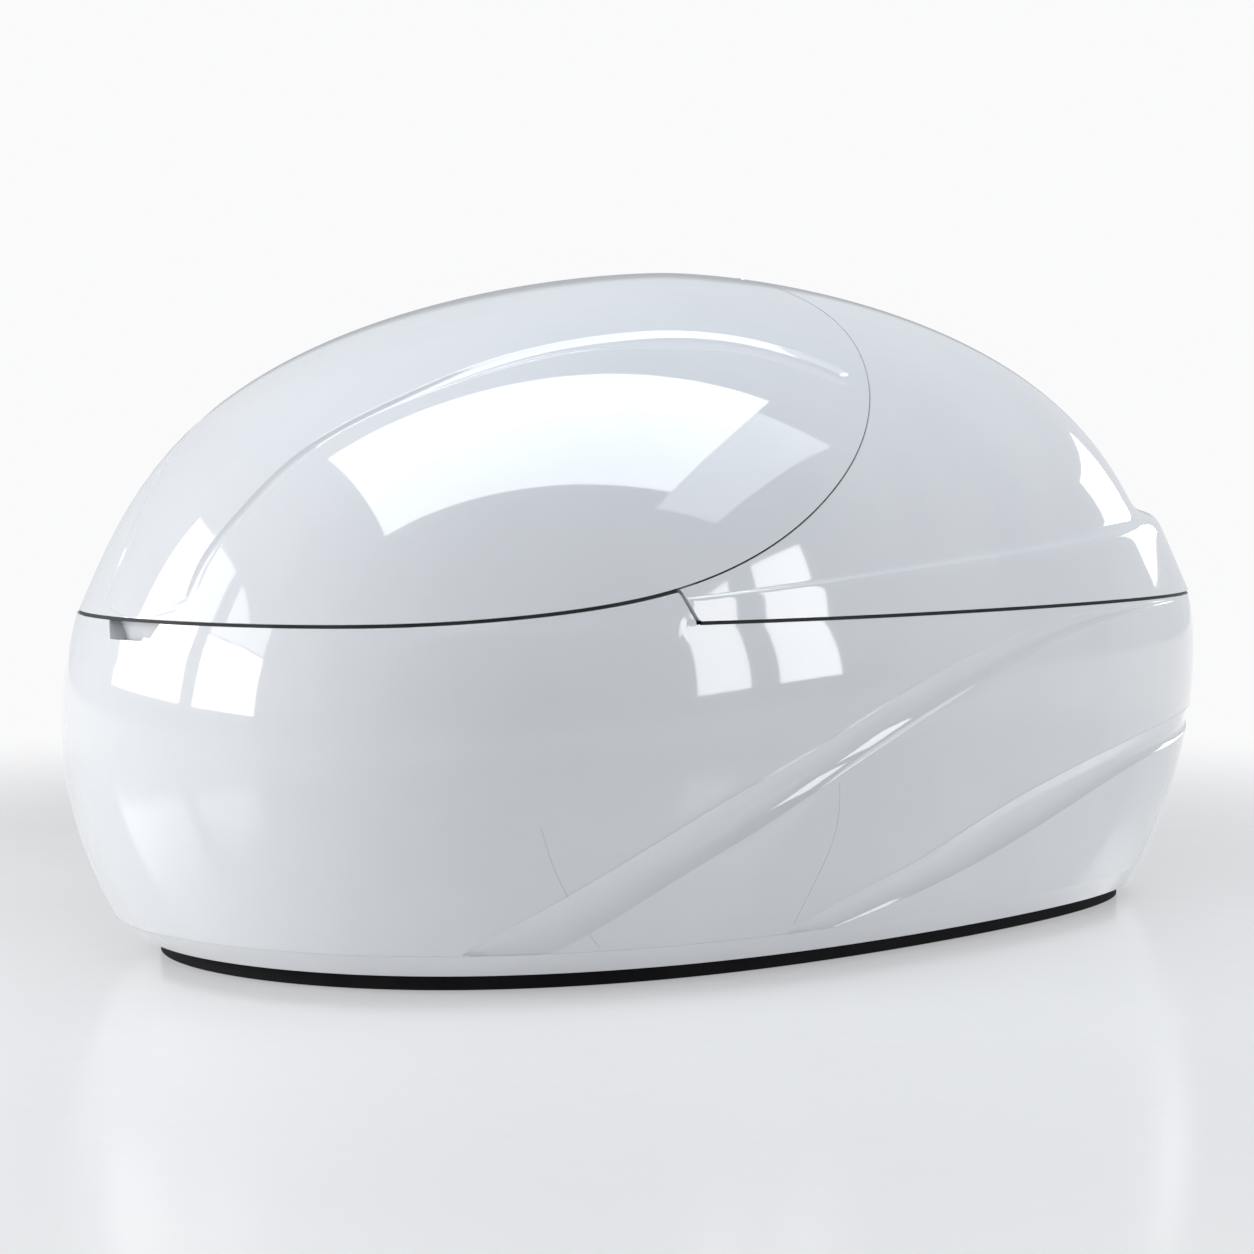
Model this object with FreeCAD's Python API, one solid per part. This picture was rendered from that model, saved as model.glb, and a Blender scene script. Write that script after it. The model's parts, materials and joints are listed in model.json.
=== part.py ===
import FreeCAD, Part
import math
import os

from FreeCAD import Vector as V

# Flotation tank: a tub on a frame, inside an egg-shaped white case whose front
# upper half is a lid.  Millimetres, +X towards the foot of the egg (the rear),
# +Z up, origin on the floor under the middle of the case.

# ---- the case -------------------------------------------------------------
case_length = 2650.0
case_width = 1610.0
case_height = 1348.0
widest_x = -360.0            # station of the greatest width
rim_height = 672.0           # joint plane between the base and what stands on it
skirt_bottom = 32.0          # lower edge of the white base
chamfer_top = 76.0
belly_front = 446.0          # height where the base is fullest, at the nose
belly_rear = 556.0           # the same at the tail
skirt_inset_front = 159.0
skirt_inset_rear = 141.0
chamfer_inset_front = 100.0
chamfer_inset_rear = 116.0
rim_inset_front = 34.5
rim_inset_rear = 13.5
nose_squareness = 0.12       # change of the plan curve's exponent half way forward
base_tail_power = 2.39       # plan curve's exponent at the tail of the base
dome_tail_power = 2.51
dome_rear = 1574.0           # length of the dome's foot behind the widest station
apex_x = -14.0
dome_lean = 0.411            # share of the dome's closing that is linear with height
dome_power = 3.127
dome_round = 1.724
base_skin = 14.0
dome_skin = 10.0
dome_wall = 42.0             # skin, foam and liner together
liner_skin = 5.0
fit_gap = 0.3                # between pieces that are bonded or bolted together
ring_points = 40             # points on one closed plan curve
reach = 900.0                # half width of the cutting tools

# ---- joints between the mouldings ------------------------------------------
lid_gap = 3.5                # lid to canopy
seal_gap = 7.0               # lid or collar to base
seal_setback = 3.0           # black seals lie this far inside the white surface
seal_width = 9.0
notch_top_x = -586.0
notch_foot_x = -560.0
seam_line = [(-1380, 672), (-1090, 675), (-840, 694), (-589, 734), (-360, 811), (-183, 907),
             (-30, 1026), (68, 1141), (114, 1225), (124, 1275), (117, 1320), (112, 1360)]
ledge_line = [(-640, 711), (-566, 717), (54, 761), (648, 797), (850, 814), (1030, 832), (1340, 860)]
collar_lean = 0.6            # collar's lean inwards, per unit of height, at the tail
collar_side_lean = 0.2       # the same along the sides

# ---- sunk bands in the white mouldings: (x, z) of the upper and the lower edge, depth ----
lid_band = [((-1263, 706), (-1260, 712), 1.5), ((-1226, 783), (-1214, 793), 3.5),
            ((-1165, 875), (-1146, 888), 5.0), ((-1066, 981), (-1028, 1003), 5.5),
            ((-903, 1082), (-881, 1082), 5.5), ((-714, 1157), (-700, 1142), 5.5),
            ((-513, 1199), (-542, 1171), 5.5), ((-342, 1211), (-384, 1173), 5.5),
            ((-173, 1194), (-210, 1160), 5.0), ((-50, 1159), (-85, 1125), 4.0),
            ((20, 1128), (-12, 1100), 2.5)]
side_band = [((-940, 84), (-790, 78), 3.0), ((-830, 162), (-720, 124), 7.0),
             ((-678, 258), (-586, 209), 9.0), ((-500, 352), (-430, 289), 9.0),
             ((-301, 435), (-250, 377), 9.0), ((-60, 530), (0, 480), 8.5),
             ((223, 607), (280, 567), 7.5), ((560, 653), (598, 633), 5.0),
             ((900, 662), (905, 657), 1.5)]
tail_band = [((-290, 79), (-180, 74), 2.0), ((-149, 137), (-60, 100), 6.0),
             ((32, 194), (120, 141), 9.0), ((230, 267), (310, 194), 10.0),
             ((462, 329), (540, 264), 10.0), ((699, 373), (760, 320), 9.0),
             ((950, 405), (985, 352), 8.0), ((1130, 422), (1145, 372), 7.5)]
tail_band_height = (434, 390)         # upper and lower edge round the tail
tail_band_ends = (0.975, 0.995)       # stations of the sections round the tail
tail_band_depth = 7.0
band_mouth = 12.0                     # how far the band's cutter stands out of the surface

# ---- finger recess under the lid's nose ---------------------------------------
grip_top_width = 190.0
grip_foot_width = 138.0
grip_height = 38.0
grip_depth = 34.0
grip_wall = 5.0

# ---- tub -------------------------------------------------------------------
deck_height = 664.0
deck_thickness = 8.0
deck_clearance = 2.3
deck_width = 110.0           # from the case's rim to the mouth of the basin
floor_height = 300.0
tub_wall = 8.0
tub_slope = 100.0            # how far the walls lean in from mouth to floor
tub_corner = 60.0            # radius between wall and floor
tub_tail_end = 1050.0        # x of the basin's mouth at the tail
tub_tail_power = 2.5
foam_thickness = 25.0
foam_top = 560.0
mat_size = (500.0, 300.0)
mat_thickness = 3.0
mat_stations = (-680.0, -130.0, 420.0)
mat_side = 190.0

# ---- frame, feet and plinth --------------------------------------------------
tube_size = 40.0
tube_wall = 2.5
rail_side = 420.0
rail_front = -900.0
rail_rear = 690.0            # the lower rails stay inside the narrowing skirt
high_rail_rear = 860.0
cross_stations = (-850.0, -400.0, 50.0, 360.0, 670.0)
outrigger_stations = (-400.0, 50.0)
outrigger_side = 600.0
near_tail_foot_side = 340.0
tail_beam_side = 150.0       # two short beams carry the tray's tail end
tail_beam_rear = 980.0
tray_front = -380.0
tray_rear = 1000.0
foot_radius = 32.0
foot_height = 12.0
stud_radius = 8.0
nut_radius = 15.0
nut_height = 13.0
rail_bottom = 42.0
plinth_setback = 30.0        # from the white skirt's lower edge
plinth_wall = 20.0
plinth_lift = 2.0
skirt_flange = 8.0
skirt_flange_width = 62.0

# ---- hinge across the top of the seam ------------------------------------------
hinge_x = 112.0
hinge_rise = 3.0             # how far the white surface stands above the axis at the hinge's ends
hinge_length = 150.0
barrel_radius = 6.0
pin_radius = 3.0
running_gap = 0.05
knuckle_gap = 0.6
knuckle_count = 5
leaf_reach = 72.0
leaf_thickness = 4.0
leaf_drop = 16.0             # top of the buried leaf below the axis
tongue = 6.0
hinge_slot = 11.0            # half width of the slot through both mouldings
lid_opening = 50.0

# ---- gas struts ----------------------------------------------------------------
strut_side = 455.0
strut_foot = (240.0, 980.0)  # x, z of the fixed pivot
strut_head = (-120.0, 1060.0)
barrel_start = 14.0
strut_barrel_length = 285.0
strut_barrel_radius = 11.0
strut_rod_radius = 5.0
strut_rod_tail = 20.0        # where the rod ends inside the barrel, lid shut
strut_eye_radius = 9.0
strut_eye_width = 14.0
strut_pin_radius = 4.0

half_length = case_length / 2
half_width = case_width / 2
front_length = half_length + widest_x
rear_length = half_length - widest_x
dome_rise = case_height - rim_height


# ---- the egg's surfaces ------------------------------------------------------
def smooth(t):
    return t * t * (3 - 2 * t)


def exponent(s, tail_power):
    if s < 0:
        return 2 + nose_squareness * s * s * (1 - s * s)
    return 2 + (tail_power - 2) * s * s


def plan_point(ring, s):
    """One point of the near half of a ring; s runs from -1 at the nose to 1 at the tail."""
    centre, front, rear, side_front, side_rear, tail_power, z = ring
    skew = (rear - front) / (rear + front)
    x = centre + front * (1 + skew) * s / (1 - skew * s)
    side = side_front + (side_rear - side_front) * smooth((s + 1) / 2)
    n = exponent(s, tail_power)
    y = side * max(1 - abs(s) ** n, 0) ** (1 / n)
    return V(x, -y, z)


def station(ring, x):
    """Position s of length x on a ring."""
    centre, front, rear = ring[:3]
    skew = (rear - front) / (rear + front)
    away = x - centre
    return max(-1, min(1, away / (front * (1 + skew) + skew * away)))


def base_ring(z, inset=0.0):
    """Ring of the base's outer surface at height z, moved inwards by inset."""
    if z < chamfer_top:
        t = (chamfer_top - z) / (chamfer_top - skirt_bottom)
        front = chamfer_inset_front + (skirt_inset_front - chamfer_inset_front) * t
        rear = chamfer_inset_rear + (skirt_inset_rear - chamfer_inset_rear) * t
    else:
        front = bulge(z, belly_front, chamfer_inset_front, rim_inset_front)
        rear = bulge(z, belly_rear, chamfer_inset_rear, rim_inset_rear)
    return (widest_x, front_length - front - inset, rear_length - rear - inset,
            half_width - front - inset, half_width - rear - inset, base_tail_power, z)


def bulge(z, belly, foot_inset, rim_inset):
    if z < belly:
        return foot_inset * ((belly - z) / (belly - chamfer_top)) ** 2
    return rim_inset * ((z - belly) / (rim_height - belly)) ** 2


def dome_scale(w):
    return max(1 - dome_lean * w - (1 - dome_lean) * max(w, 0) ** dome_power, 0) ** (1 / dome_round)


def dome_ring(z, inset=0.0):
    w = (z - rim_height) / (dome_rise - inset)
    k = dome_scale(w)
    centre = widest_x + (apex_x - widest_x) * (1 - k)
    return (centre, (front_length - rim_inset_front - inset) * k, (dome_rear - inset) * k,
            (half_width - rim_inset_front - inset) * k, (half_width - rim_inset_rear - inset) * k,
            dome_tail_power, z)


def collar_ring(z, inset=0.0):
    """Ring of the band round the canopy's foot: the dome in front, the base's rim behind."""
    dome = dome_ring(z)
    rise = z - rim_height
    rear = rear_length - rim_inset_rear - collar_lean * rise
    side = half_width - rim_inset_rear - collar_side_lean * rise
    return (dome[0], dome[1] - inset, rear - (dome[0] - widest_x) - inset,
            dome[3] - inset, side - inset, base_tail_power, z)


def ring_wire(ring):
    half = ring_points // 2
    near = [plan_point(ring, -math.cos(math.pi * i / half)) for i in range(half + 1)]
    far = [V(p.x, -p.y, p.z) for p in near[-2:0:-1]]
    curve = Part.BSplineCurve()
    curve.interpolate(Points=near + far, PeriodicFlag=True)
    return Part.Wire([curve.toShape()])


def loft(rings, ruled=False):
    return Part.makeLoft([ring_wire(r) for r in rings], True, ruled)


def base_body(inset=0.0, bottom=skirt_bottom, top=rim_height):
    skirt = loft([base_ring(bottom, inset), base_ring(chamfer_top, inset)], True)
    levels = [chamfer_top + (top - chamfer_top) * i / 9 for i in range(10)]
    return skirt.fuse(loft([base_ring(z, inset) for z in levels])).removeSplitter()


def dome_body(inset=0.0, foot=rim_height):
    rise = dome_rise - inset
    start = math.asin((foot - rim_height) / rise)
    turns = [start + (math.radians(88.0) - start) * i / 17 for i in range(18)]
    return loft([dome_ring(rim_height + rise * math.sin(a), inset) for a in turns])


def collar_body(inset=0.0, foot=rim_height, top=870.0):
    levels = [foot + (top - foot) * i / 4 for i in range(5)]
    return loft([collar_ring(z, inset) for z in levels])


# ---- cutting tools that run right across the tank ------------------------------
def line_through(points):
    curve = Part.BSplineCurve()
    curve.interpolate(Points=[V(x, 0, z) for x, z in points])
    return curve


def moved_line(points, distance):
    """The same line moved sideways: up and forwards when distance is positive."""
    curve = line_through(points)
    moved = []
    for x, z in points:
        tangent = curve.tangent(curve.parameter(V(x, 0, z)))[0]
        moved.append((x - tangent.z * distance, z + tangent.x * distance))
    return line_through(moved)


def across(edges_or_points, spread=reach):
    """Solid whose outline in XZ is given, from side to side of the tank."""
    edges = []
    last = None
    first = None
    for item in edges_or_points:
        if isinstance(item, tuple):
            point = V(item[0], 0, item[1])
            if last is not None:
                edges.append(Part.makeLine(last, point))
            last = point
            first = first or point
        else:
            start, end = item.StartPoint, item.EndPoint
            if last is not None and last.distanceToPoint(start) > 1e-6:
                edges.append(Part.makeLine(last, start))
            edges.append(item.toShape())
            last = end
            first = first or start
    edges.append(Part.makeLine(last, first))
    face = Part.Face(Part.Wire(Part.__sortEdges__(edges)))
    face.translate(V(0, -spread, 0))
    return face.extrude(V(0, 2 * spread, 0))


def box(x0, x1, y0, y1, z0, z1):
    return Part.makeBox(x1 - x0, y1 - y0, z1 - z0, V(x0, y0, z0))




# ---- points and normals on the surfaces -----------------------------------------
def side_point(ring_of, x, z):
    ring = ring_of(z)
    return plan_point(ring, station(ring, x))


def side_normal(ring_of, x, z):
    """Outward normal of the near side."""
    step = 2.0
    along = side_point(ring_of, x + step, z) - side_point(ring_of, x - step, z)
    upwards = side_point(ring_of, x, z + step) - side_point(ring_of, x, z - step)
    return along.cross(upwards).normalize()


def dome_height(x, y, inset=0.0):
    low, high = rim_height, case_height - inset - 0.01
    for _ in range(40):
        z = (low + high) / 2
        ring = dome_ring(z, inset)
        inside = abs(station(ring, x)) < 1 and -plan_point(ring, station(ring, x)).y > abs(y)
        if inside:
            low = z
        else:
            high = z
    return low


def mirrored(shape):
    return shape.mirror(V(0, 0, 0), V(0, 1, 0))


def both_sides(shape):
    return [shape, mirrored(shape)]


def fused(shapes):
    return shapes[0].multiFuse(shapes[1:]).removeSplitter() if len(shapes) > 1 else shapes[0]


def rod(start, end, radius):
    way = end - start
    return Part.makeCylinder(radius, way.Length, start, way)


def ring_slab(ring_of, z0, z1, outer, inner):
    body = loft([ring_of(z0, outer), ring_of(z1, outer)], True)
    return body.cut(loft([ring_of(z0 - 1, inner), ring_of(z1 + 1, inner)], True))


# ---- sunk bands -------------------------------------------------------------------
def band_section(upper, lower, normal, depth, low_side):
    """Closed section of a band's cutter: an arc below the surface, a mouth above it."""
    middle = upper + (lower - upper) * low_side - normal * depth
    arc = Part.Arc(upper, middle, lower).toShape()
    top = upper + normal * band_mouth
    bottom = lower + normal * band_mouth
    return Part.Wire([arc, Part.makeLine(lower, bottom), Part.makeLine(bottom, top),
                      Part.makeLine(top, upper)])


def band_cutter(ring_of, stations, low_side=0.5):
    sections = []
    for (ux, uz), (lx, lz), depth in stations:
        upper = side_point(ring_of, ux, uz)
        lower = side_point(ring_of, lx, lz)
        normal = side_normal(ring_of, (ux + lx) / 2, (uz + lz) / 2)
        sections.append(band_section(upper, lower, normal, depth, low_side))
    return Part.makeLoft(sections, True, False)


def tail_cutter():
    near = []
    for (ux, uz), (lx, lz), depth in tail_band:
        upper = side_point(base_ring, ux, uz)
        lower = side_point(base_ring, lx, lz)
        normal = side_normal(base_ring, (ux + lx) / 2, (uz + lz) / 2)
        near.append((upper, lower, normal, depth))
    top, foot = tail_band_height
    for s in tail_band_ends:
        ahead = plan_point(base_ring(top), s + 0.002) - plan_point(base_ring(top), s - 0.002)
        near.append((plan_point(base_ring(top), s), plan_point(base_ring(foot), s),
                     V(-ahead.y, ahead.x, 0).negative().normalize(), tail_band_depth))
    tail = (plan_point(base_ring(top), 1), plan_point(base_ring(foot), 1), V(1, 0, 0), tail_band_depth)
    far = [(V(u.x, -u.y, u.z), V(w.x, -w.y, w.z), V(n.x, -n.y, n.z), d) for u, w, n, d in near[::-1]]
    return Part.makeLoft([band_section(u, w, n, d, 0.7) for u, w, n, d in near + [tail] + far], True, False)


# ---- regions on each side of the joints ----------------------------------------------
def lid_region(back=0.0):
    """Room of the lid; back is how far its edge is drawn in."""
    edge = moved_line(seam_line, lid_gap / 2 + back)
    return across([edge, (-1500, 1500), (-1500, edge.StartPoint.z)])


def canopy_region(back=0.0):
    edge = moved_line(seam_line, -lid_gap / 2 - back)
    joint = rim_height + seal_gap / 2 + back
    top = notch_height() + seal_gap / 2 + back
    body = across([edge, (1500, 1500), (1500, 500), (-1500, 500)])
    keep = across([(notch_top_x + back, 1500), (notch_top_x + back, top), (notch_foot_x + back, joint),
                   (1500, joint), (1500, 1500)])
    return body.common(keep)


def notch_height():
    x_values = [x for x, z in seam_line]
    curve = line_through(seam_line)
    low, high = curve.FirstParameter, curve.LastParameter
    for _ in range(40):
        middle = (low + high) / 2
        if curve.value(middle).x < notch_top_x:
            low = middle
        else:
            high = middle
    return curve.value(low).z


def base_region(drop=0.0):
    edge = moved_line(seam_line, -lid_gap / 2 - seal_gap / 2 - drop)
    joint = rim_height - seal_gap / 2 - drop
    body = across([edge, (1500, 1500), (1500, 0), (-1500, 0)])
    keep = across([(-1500, 0), (-1500, 1500), (notch_top_x - seal_gap / 2, 1500),
                   (notch_top_x - seal_gap / 2, notch_height()), (notch_foot_x - seal_gap / 2, joint),
                   (1500, joint), (1500, 0)])
    return body.common(keep)


# ---- white mouldings, liners and foam ---------------------------------------------
nodes = {}
hinge_z = dome_height(hinge_x, hinge_length / 2 + 4) - hinge_rise
slot_room = box(hinge_x - hinge_slot, hinge_x + hinge_slot, -hinge_length / 2 - 4, hinge_length / 2 + 4,
                hinge_z - leaf_drop - leaf_thickness - 0.5, case_height + 50)


def canopy_outer(inset, foot):
    """The dome and the collar round its foot."""
    collar_top = [(x, z - inset) for x, z in ledge_line]
    below = across([line_through(collar_top), (1500, 500), (-1500, 500)])
    return dome_body(inset, foot).fuse(collar_body(inset, foot).common(below))


base_wall = base_body().cut(base_body(base_skin, skirt_bottom - 2))
front_wall = dome_body().cut(dome_body(base_skin, rim_height - 1)).common(
    box(-1500, notch_foot_x, -reach, reach, rim_height - 2, 760))

grip_z = rim_height - grip_height - 2
grip_front = -1400.0
grip_back = plan_point(base_ring(650), -1).x + grip_depth


def grip_prism(grow, back, top):
    half_top = grip_top_width / 2 + grow
    half_foot = grip_foot_width / 2 + grow
    corners = [V(0, -half_foot, grip_z - grow), V(0, half_foot, grip_z - grow),
               V(0, half_top, top), V(0, -half_top, top)]
    face = Part.Face(Part.makePolygon(corners + corners[:1]))
    face.translate(V(grip_front, 0, 0))
    return face.extrude(V(back - grip_front, 0, 0))


# rear service hatch
hatch_side = 300.0
hatch_bottom, hatch_top = 105.0, 325.0
hatch_gap = 2.0
hatch_lap = 25.0
inlet_side = (-195.0, -125.0)
inlet_height = (185.0, 245.0)
inlet_back = 1190.0


def hatch_room(grow):
    return box(900, 1500, -hatch_side - grow, hatch_side + grow, hatch_bottom - grow, hatch_top + grow)


grip_pocket = grip_prism(grip_wall, grip_back + grip_wall, rim_height - seal_gap / 2)
base_shell = base_wall.fuse(front_wall).common(base_region())
base_shell = base_shell.fuse(ring_slab(base_ring, skirt_bottom, skirt_bottom + skirt_flange, 10,
                                       skirt_flange_width))
shelf_end = grip_back + grip_wall + 1.2
nose_shelf = box(-1500, shelf_end, -reach, reach, deck_height - deck_thickness, deck_height).cut(
    grip_prism(grip_wall - 1, grip_back + grip_wall - 1, rim_height - seal_gap / 2))
base_shell = base_shell.multiFuse([room.common(base_body(base_skin - 2)) for room in (grip_pocket,
                                                                                      nose_shelf)])
side_cut = band_cutter(base_ring, side_band)
base_shell = base_shell.cut([side_cut, mirrored(side_cut), tail_cutter(), hatch_room(hatch_gap),
                             grip_prism(0, grip_back, rim_height + 20)])
nodes["base_shell"] = base_shell

hatch = base_wall.common(hatch_room(0))
cup = box(inlet_back, 1400, inlet_side[0] - 4, inlet_side[1] + 4, inlet_height[0] - 4, inlet_height[1] + 4)
cup_room = box(inlet_back + 4, 1500, inlet_side[0], inlet_side[1], inlet_height[0], inlet_height[1])
nodes["rear_hatch"] = hatch.fuse(cup.common(base_body(2))).cut(cup_room)
hatch_frame = base_body(base_skin + fit_gap).cut(base_body(base_skin + 6)).common(hatch_room(hatch_lap))
nodes["hatch_frame"] = hatch_frame.cut(hatch_room(-hatch_lap))


def tail_at(y, z, inset=0.0):
    """Point and outward normal of the base near its tail, on side y."""
    ring = base_ring(z, inset)
    low, high = 0.3, 1.0
    for _ in range(40):
        s = (low + high) / 2
        if -plan_point(ring, s).y > abs(y):
            low = s
        else:
            high = s
    here = plan_point(ring, low)
    along = plan_point(ring, low - 0.002) - here
    upwards = plan_point(base_ring(z + 2, inset), low) - here
    normal = upwards.cross(along).normalize()
    if normal.x < 0:
        normal = normal.negative()
    side = 1 if y > 0 else -1
    return V(here.x, -here.y * side, z), V(normal.x, abs(normal.y) * side, normal.z)


screw_head, screw_shank = 6.0, 2.9
hatch_screws = []
for screw_y in (-270, -90, 90, 270):
    for screw_z in (hatch_bottom + 11, hatch_top - 11):
        at, out = tail_at(screw_y, screw_z)
        nodes["rear_hatch"] = nodes["rear_hatch"].cut([
            Part.makeCylinder(screw_head + 0.5, 20, at - out * 3.5, out),
            Part.makeCylinder(screw_shank + 0.2, 60, at - out * 40, out)])
        nodes["hatch_frame"] = nodes["hatch_frame"].cut(
            Part.makeCylinder(screw_shank + 0.2, 60, at - out * 40, out))
        head = Part.makeCylinder(screw_head, 3, at - out * 3.3, out)
        shank = Part.makeCylinder(screw_shank, 24, at - out * 27.3, out)
        socket = Part.makeCylinder(2, 4, at - out * 2, out)
        hatch_screws.append(head.fuse(shank).cut(socket))
nodes["hatch_screws"] = Part.makeCompound(hatch_screws)
inlet_body = box(inlet_back + 4.2, inlet_back + 34, inlet_side[0] + 8, inlet_side[1] - 8,
                 inlet_height[0] + 8, inlet_height[1] - 8)
inlet_room = box(inlet_back + 12, inlet_back + 40, inlet_side[0] + 14, inlet_side[1] - 14,
                 inlet_height[0] + 14, inlet_height[1] - 14)
pins = [box(inlet_back + 10, inlet_back + 28, y - 3, y + 3, z - 1.2, z + 1.2)
        for y, z in ((-172, 210), (-148, 210), (-160, 220))]
nodes["power_inlet"] = inlet_body.cut(inlet_room).fuse(pins)

lid_cut = band_cutter(dome_ring, lid_band)
lid_side = lid_region()
canopy_side = canopy_region()
nodes["lid_shell"] = dome_body().cut(dome_body(dome_skin, rim_height - 20)).common(lid_side).cut(
    [lid_cut, mirrored(lid_cut), slot_room])
lid_core = dome_body(dome_skin, rim_height - 3).cut(dome_body(dome_wall - liner_skin, rim_height - 20))
nodes["lid_liner"] = dome_body(dome_skin + fit_gap, rim_height - 1).cut(
    dome_body(dome_wall, rim_height - 20)).common(lid_side).cut(lid_core.common(lid_region(liner_skin)))
nodes["lid_foam"] = dome_body(dome_skin + 2 * fit_gap, rim_height - 3).cut(
    dome_body(dome_wall - liner_skin - fit_gap, rim_height - 20)).common(lid_region(liner_skin + fit_gap))

canopy_white = canopy_outer(0, rim_height)
nodes["rear_canopy"] = canopy_white.cut(canopy_outer(dome_skin,
                                                     rim_height - 20)).common(canopy_side).cut(slot_room)
canopy_inner = dome_body(dome_wall, rim_height - 20)
canopy_core = dome_body(dome_skin, rim_height - 3).cut(dome_body(dome_wall - liner_skin, rim_height - 20))
liner = dome_body(dome_skin + fit_gap, rim_height - 1).cut(canopy_inner).common(canopy_side).cut(
    canopy_core.common(canopy_region(liner_skin)))
foot_outer = loft([dome_ring(z, 27) for z in (deck_height + fit_gap, rim_height + seal_gap / 2 + 2.5)], True)
foot_inner = loft([dome_ring(z, 39) for z in (deck_height - 1, rim_height + seal_gap / 2 + 3)], True)
liner = liner.fuse(foot_outer.cut(foot_inner).common(box(-520, 1500, -reach, reach, 600, 700)))
nodes["canopy_liner"] = liner
nodes["canopy_foam"] = canopy_outer(dome_skin + 2 * fit_gap, rim_height - 3).cut(
    dome_body(dome_wall - liner_skin - fit_gap, rim_height - 20)).common(canopy_region(liner_skin + fit_gap))

# ---- black seals ----------------------------------------------------------------
seal_ring = dome_body(seal_setback, rim_height - 12).cut(dome_body(seal_setback + seal_width,
                                                                   rim_height - 20))
nodes["rim_seal"] = seal_ring.common(lid_region(-seal_gap + 0.6)).cut(lid_region(0)).common(
    box(-1500, notch_top_x - 6, -reach, reach, 600, 760))
nodes["canopy_seal"] = seal_ring.common(canopy_region(-2.5)).cut(canopy_region(0)).common(
    box(notch_top_x + 8, 1500, -reach, reach, notch_height() + 8, 1400)).cut(slot_room)
collar_seal = loft([collar_ring(z, seal_setback) for z in (rim_height - 3.3, rim_height + 3.3)], True)
collar_hole = loft([collar_ring(z, seal_setback + seal_width) for z in (rim_height - 5, rim_height + 5)],
                   True)
nodes["collar_gasket"] = collar_seal.cut(collar_hole).common(box(notch_foot_x + 6, 1500, -reach, reach,
                                                                 600, 700))


# ---- tub ---------------------------------------------------------------------------
def basin_body(grow=0.0, top=deck_height):
    """Room of the basin; grow moves it outwards."""
    floor = floor_height - grow
    corner = tub_corner + grow
    levels = [(floor + corner * (1 - math.cos(math.radians(a))), corner * (1 - math.sin(math.radians(a))))
              for a in (0, 15, 30, 45, 60, 75, 90)]
    levels += [(top, 0)]
    rings = []
    for z, more in levels:
        inset = tub_slope * (deck_height - z) / (deck_height - floor_height) + more - grow
        mouth = half_width - rim_inset_front - deck_width
        rings.append((widest_x, front_length - rim_inset_front - deck_width - inset,
                      tub_tail_end - widest_x - inset, mouth - inset, mouth - inset, tub_tail_power, z))
    return loft(rings[:-1]).fuse(loft(rings[-2:], True))


def wall_side(z, x=-100.0):
    """Half width of the basin at height z and station x."""
    inset = tub_slope * (deck_height - z) / (deck_height - floor_height)
    mouth = half_width - rim_inset_front - deck_width
    ring = (widest_x, front_length - rim_inset_front - deck_width - inset, tub_tail_end - widest_x - inset,
            mouth - inset, mouth - inset, tub_tail_power, z)
    return -plan_point(ring, station(ring, x)).y


def along_x(x0, x1, y, z, radius):
    return Part.makeCylinder(radius, x1 - x0, V(x0, y, z), V(1, 0, 0))


def along_y(x, y0, y1, z, radius):
    return Part.makeCylinder(radius, y1 - y0, V(x, y0, z), V(0, 1, 0))


def upright(x, y, z0, z1, radius):
    return Part.makeCylinder(radius, z1 - z0, V(x, y, z0))


drain_stations = (300.0, 800.0)
light_height = 470.0
light_front, light_rear = -1105.0, 965.0     # inner faces of the lights' seats
jet_station, jet_height = -100.0, 420.0
jet_seat = wall_side(jet_height) - 14
button_station, button_side = -60.0, 692.0
fan_station = 1112.0
fan_radius = 46.0

deck = loft([base_ring(deck_height - deck_thickness, base_skin + deck_clearance),
             base_ring(deck_height, base_skin + deck_clearance)], True)
tub = deck.fuse(basin_body(tub_wall))
seats = [along_y(jet_station, -jet_seat - 30, -jet_seat, jet_height, 38),
         along_x(light_front - 40, light_front, 0, light_height, 52),
         along_x(light_rear, light_rear + 40, 0, light_height, 52)]
tub = tub.cut(basin_body(0, deck_height + 1))
tub = tub.multiFuse([seat.common(basin_body(tub_wall)) for seat in seats])
tub_holes = [along_y(jet_station, -800, -jet_seat + 10, jet_height, 20.3),
             along_x(light_front - 80, light_front + 5, 0, light_height, 36.3),
             along_x(light_rear - 5, light_rear + 80, 0, light_height, 36.3),
             upright(fan_station, 0, 640, 680, fan_radius)]
tub_holes += [upright(x, 0, 280, 320, 30.3) for x in drain_stations]
tub_holes += [upright(button_station, y, 640, 680, 19) for y in (-button_side, button_side)]
tub = tub.cut(tub_holes + [box(-1500, shelf_end + fit_gap, -reach, reach, 600, 700)])

foam = basin_body(tub_wall + fit_gap + foam_thickness, foam_top).cut(basin_body(tub_wall + fit_gap,
                                                                                foam_top + 1))
mat_top = floor_height - tub_wall - fit_gap
mats = [box(x - mat_size[0] / 2, x + mat_size[0] / 2, y - mat_size[1] / 2, y + mat_size[1] / 2,
            mat_top - mat_thickness, mat_top) for x in mat_stations for y in (-mat_side, mat_side)]
mat_rooms = [box(x - mat_size[0] / 2 - 1, x + mat_size[0] / 2 + 1, y - mat_size[1] / 2 - 1,
                 y + mat_size[1] / 2 + 1, mat_top - mat_thickness - fit_gap, mat_top + 1)
             for x in mat_stations for y in (-mat_side, mat_side)]
sound_spots = [(730.0, -150.0), (730.0, 150.0)]
foam_holes = [along_y(jet_station, -800, -jet_seat + 10, jet_height, 26),
              along_x(light_front - 120, light_front, 0, light_height, 46),
              along_x(light_rear, light_rear + 120, 0, light_height, 46)]
foam_holes += [upright(x, 0, 240, 320, 44) for x in drain_stations]
foam_holes += [upright(x, y, 240, 320, 43) for x, y in sound_spots]
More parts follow.
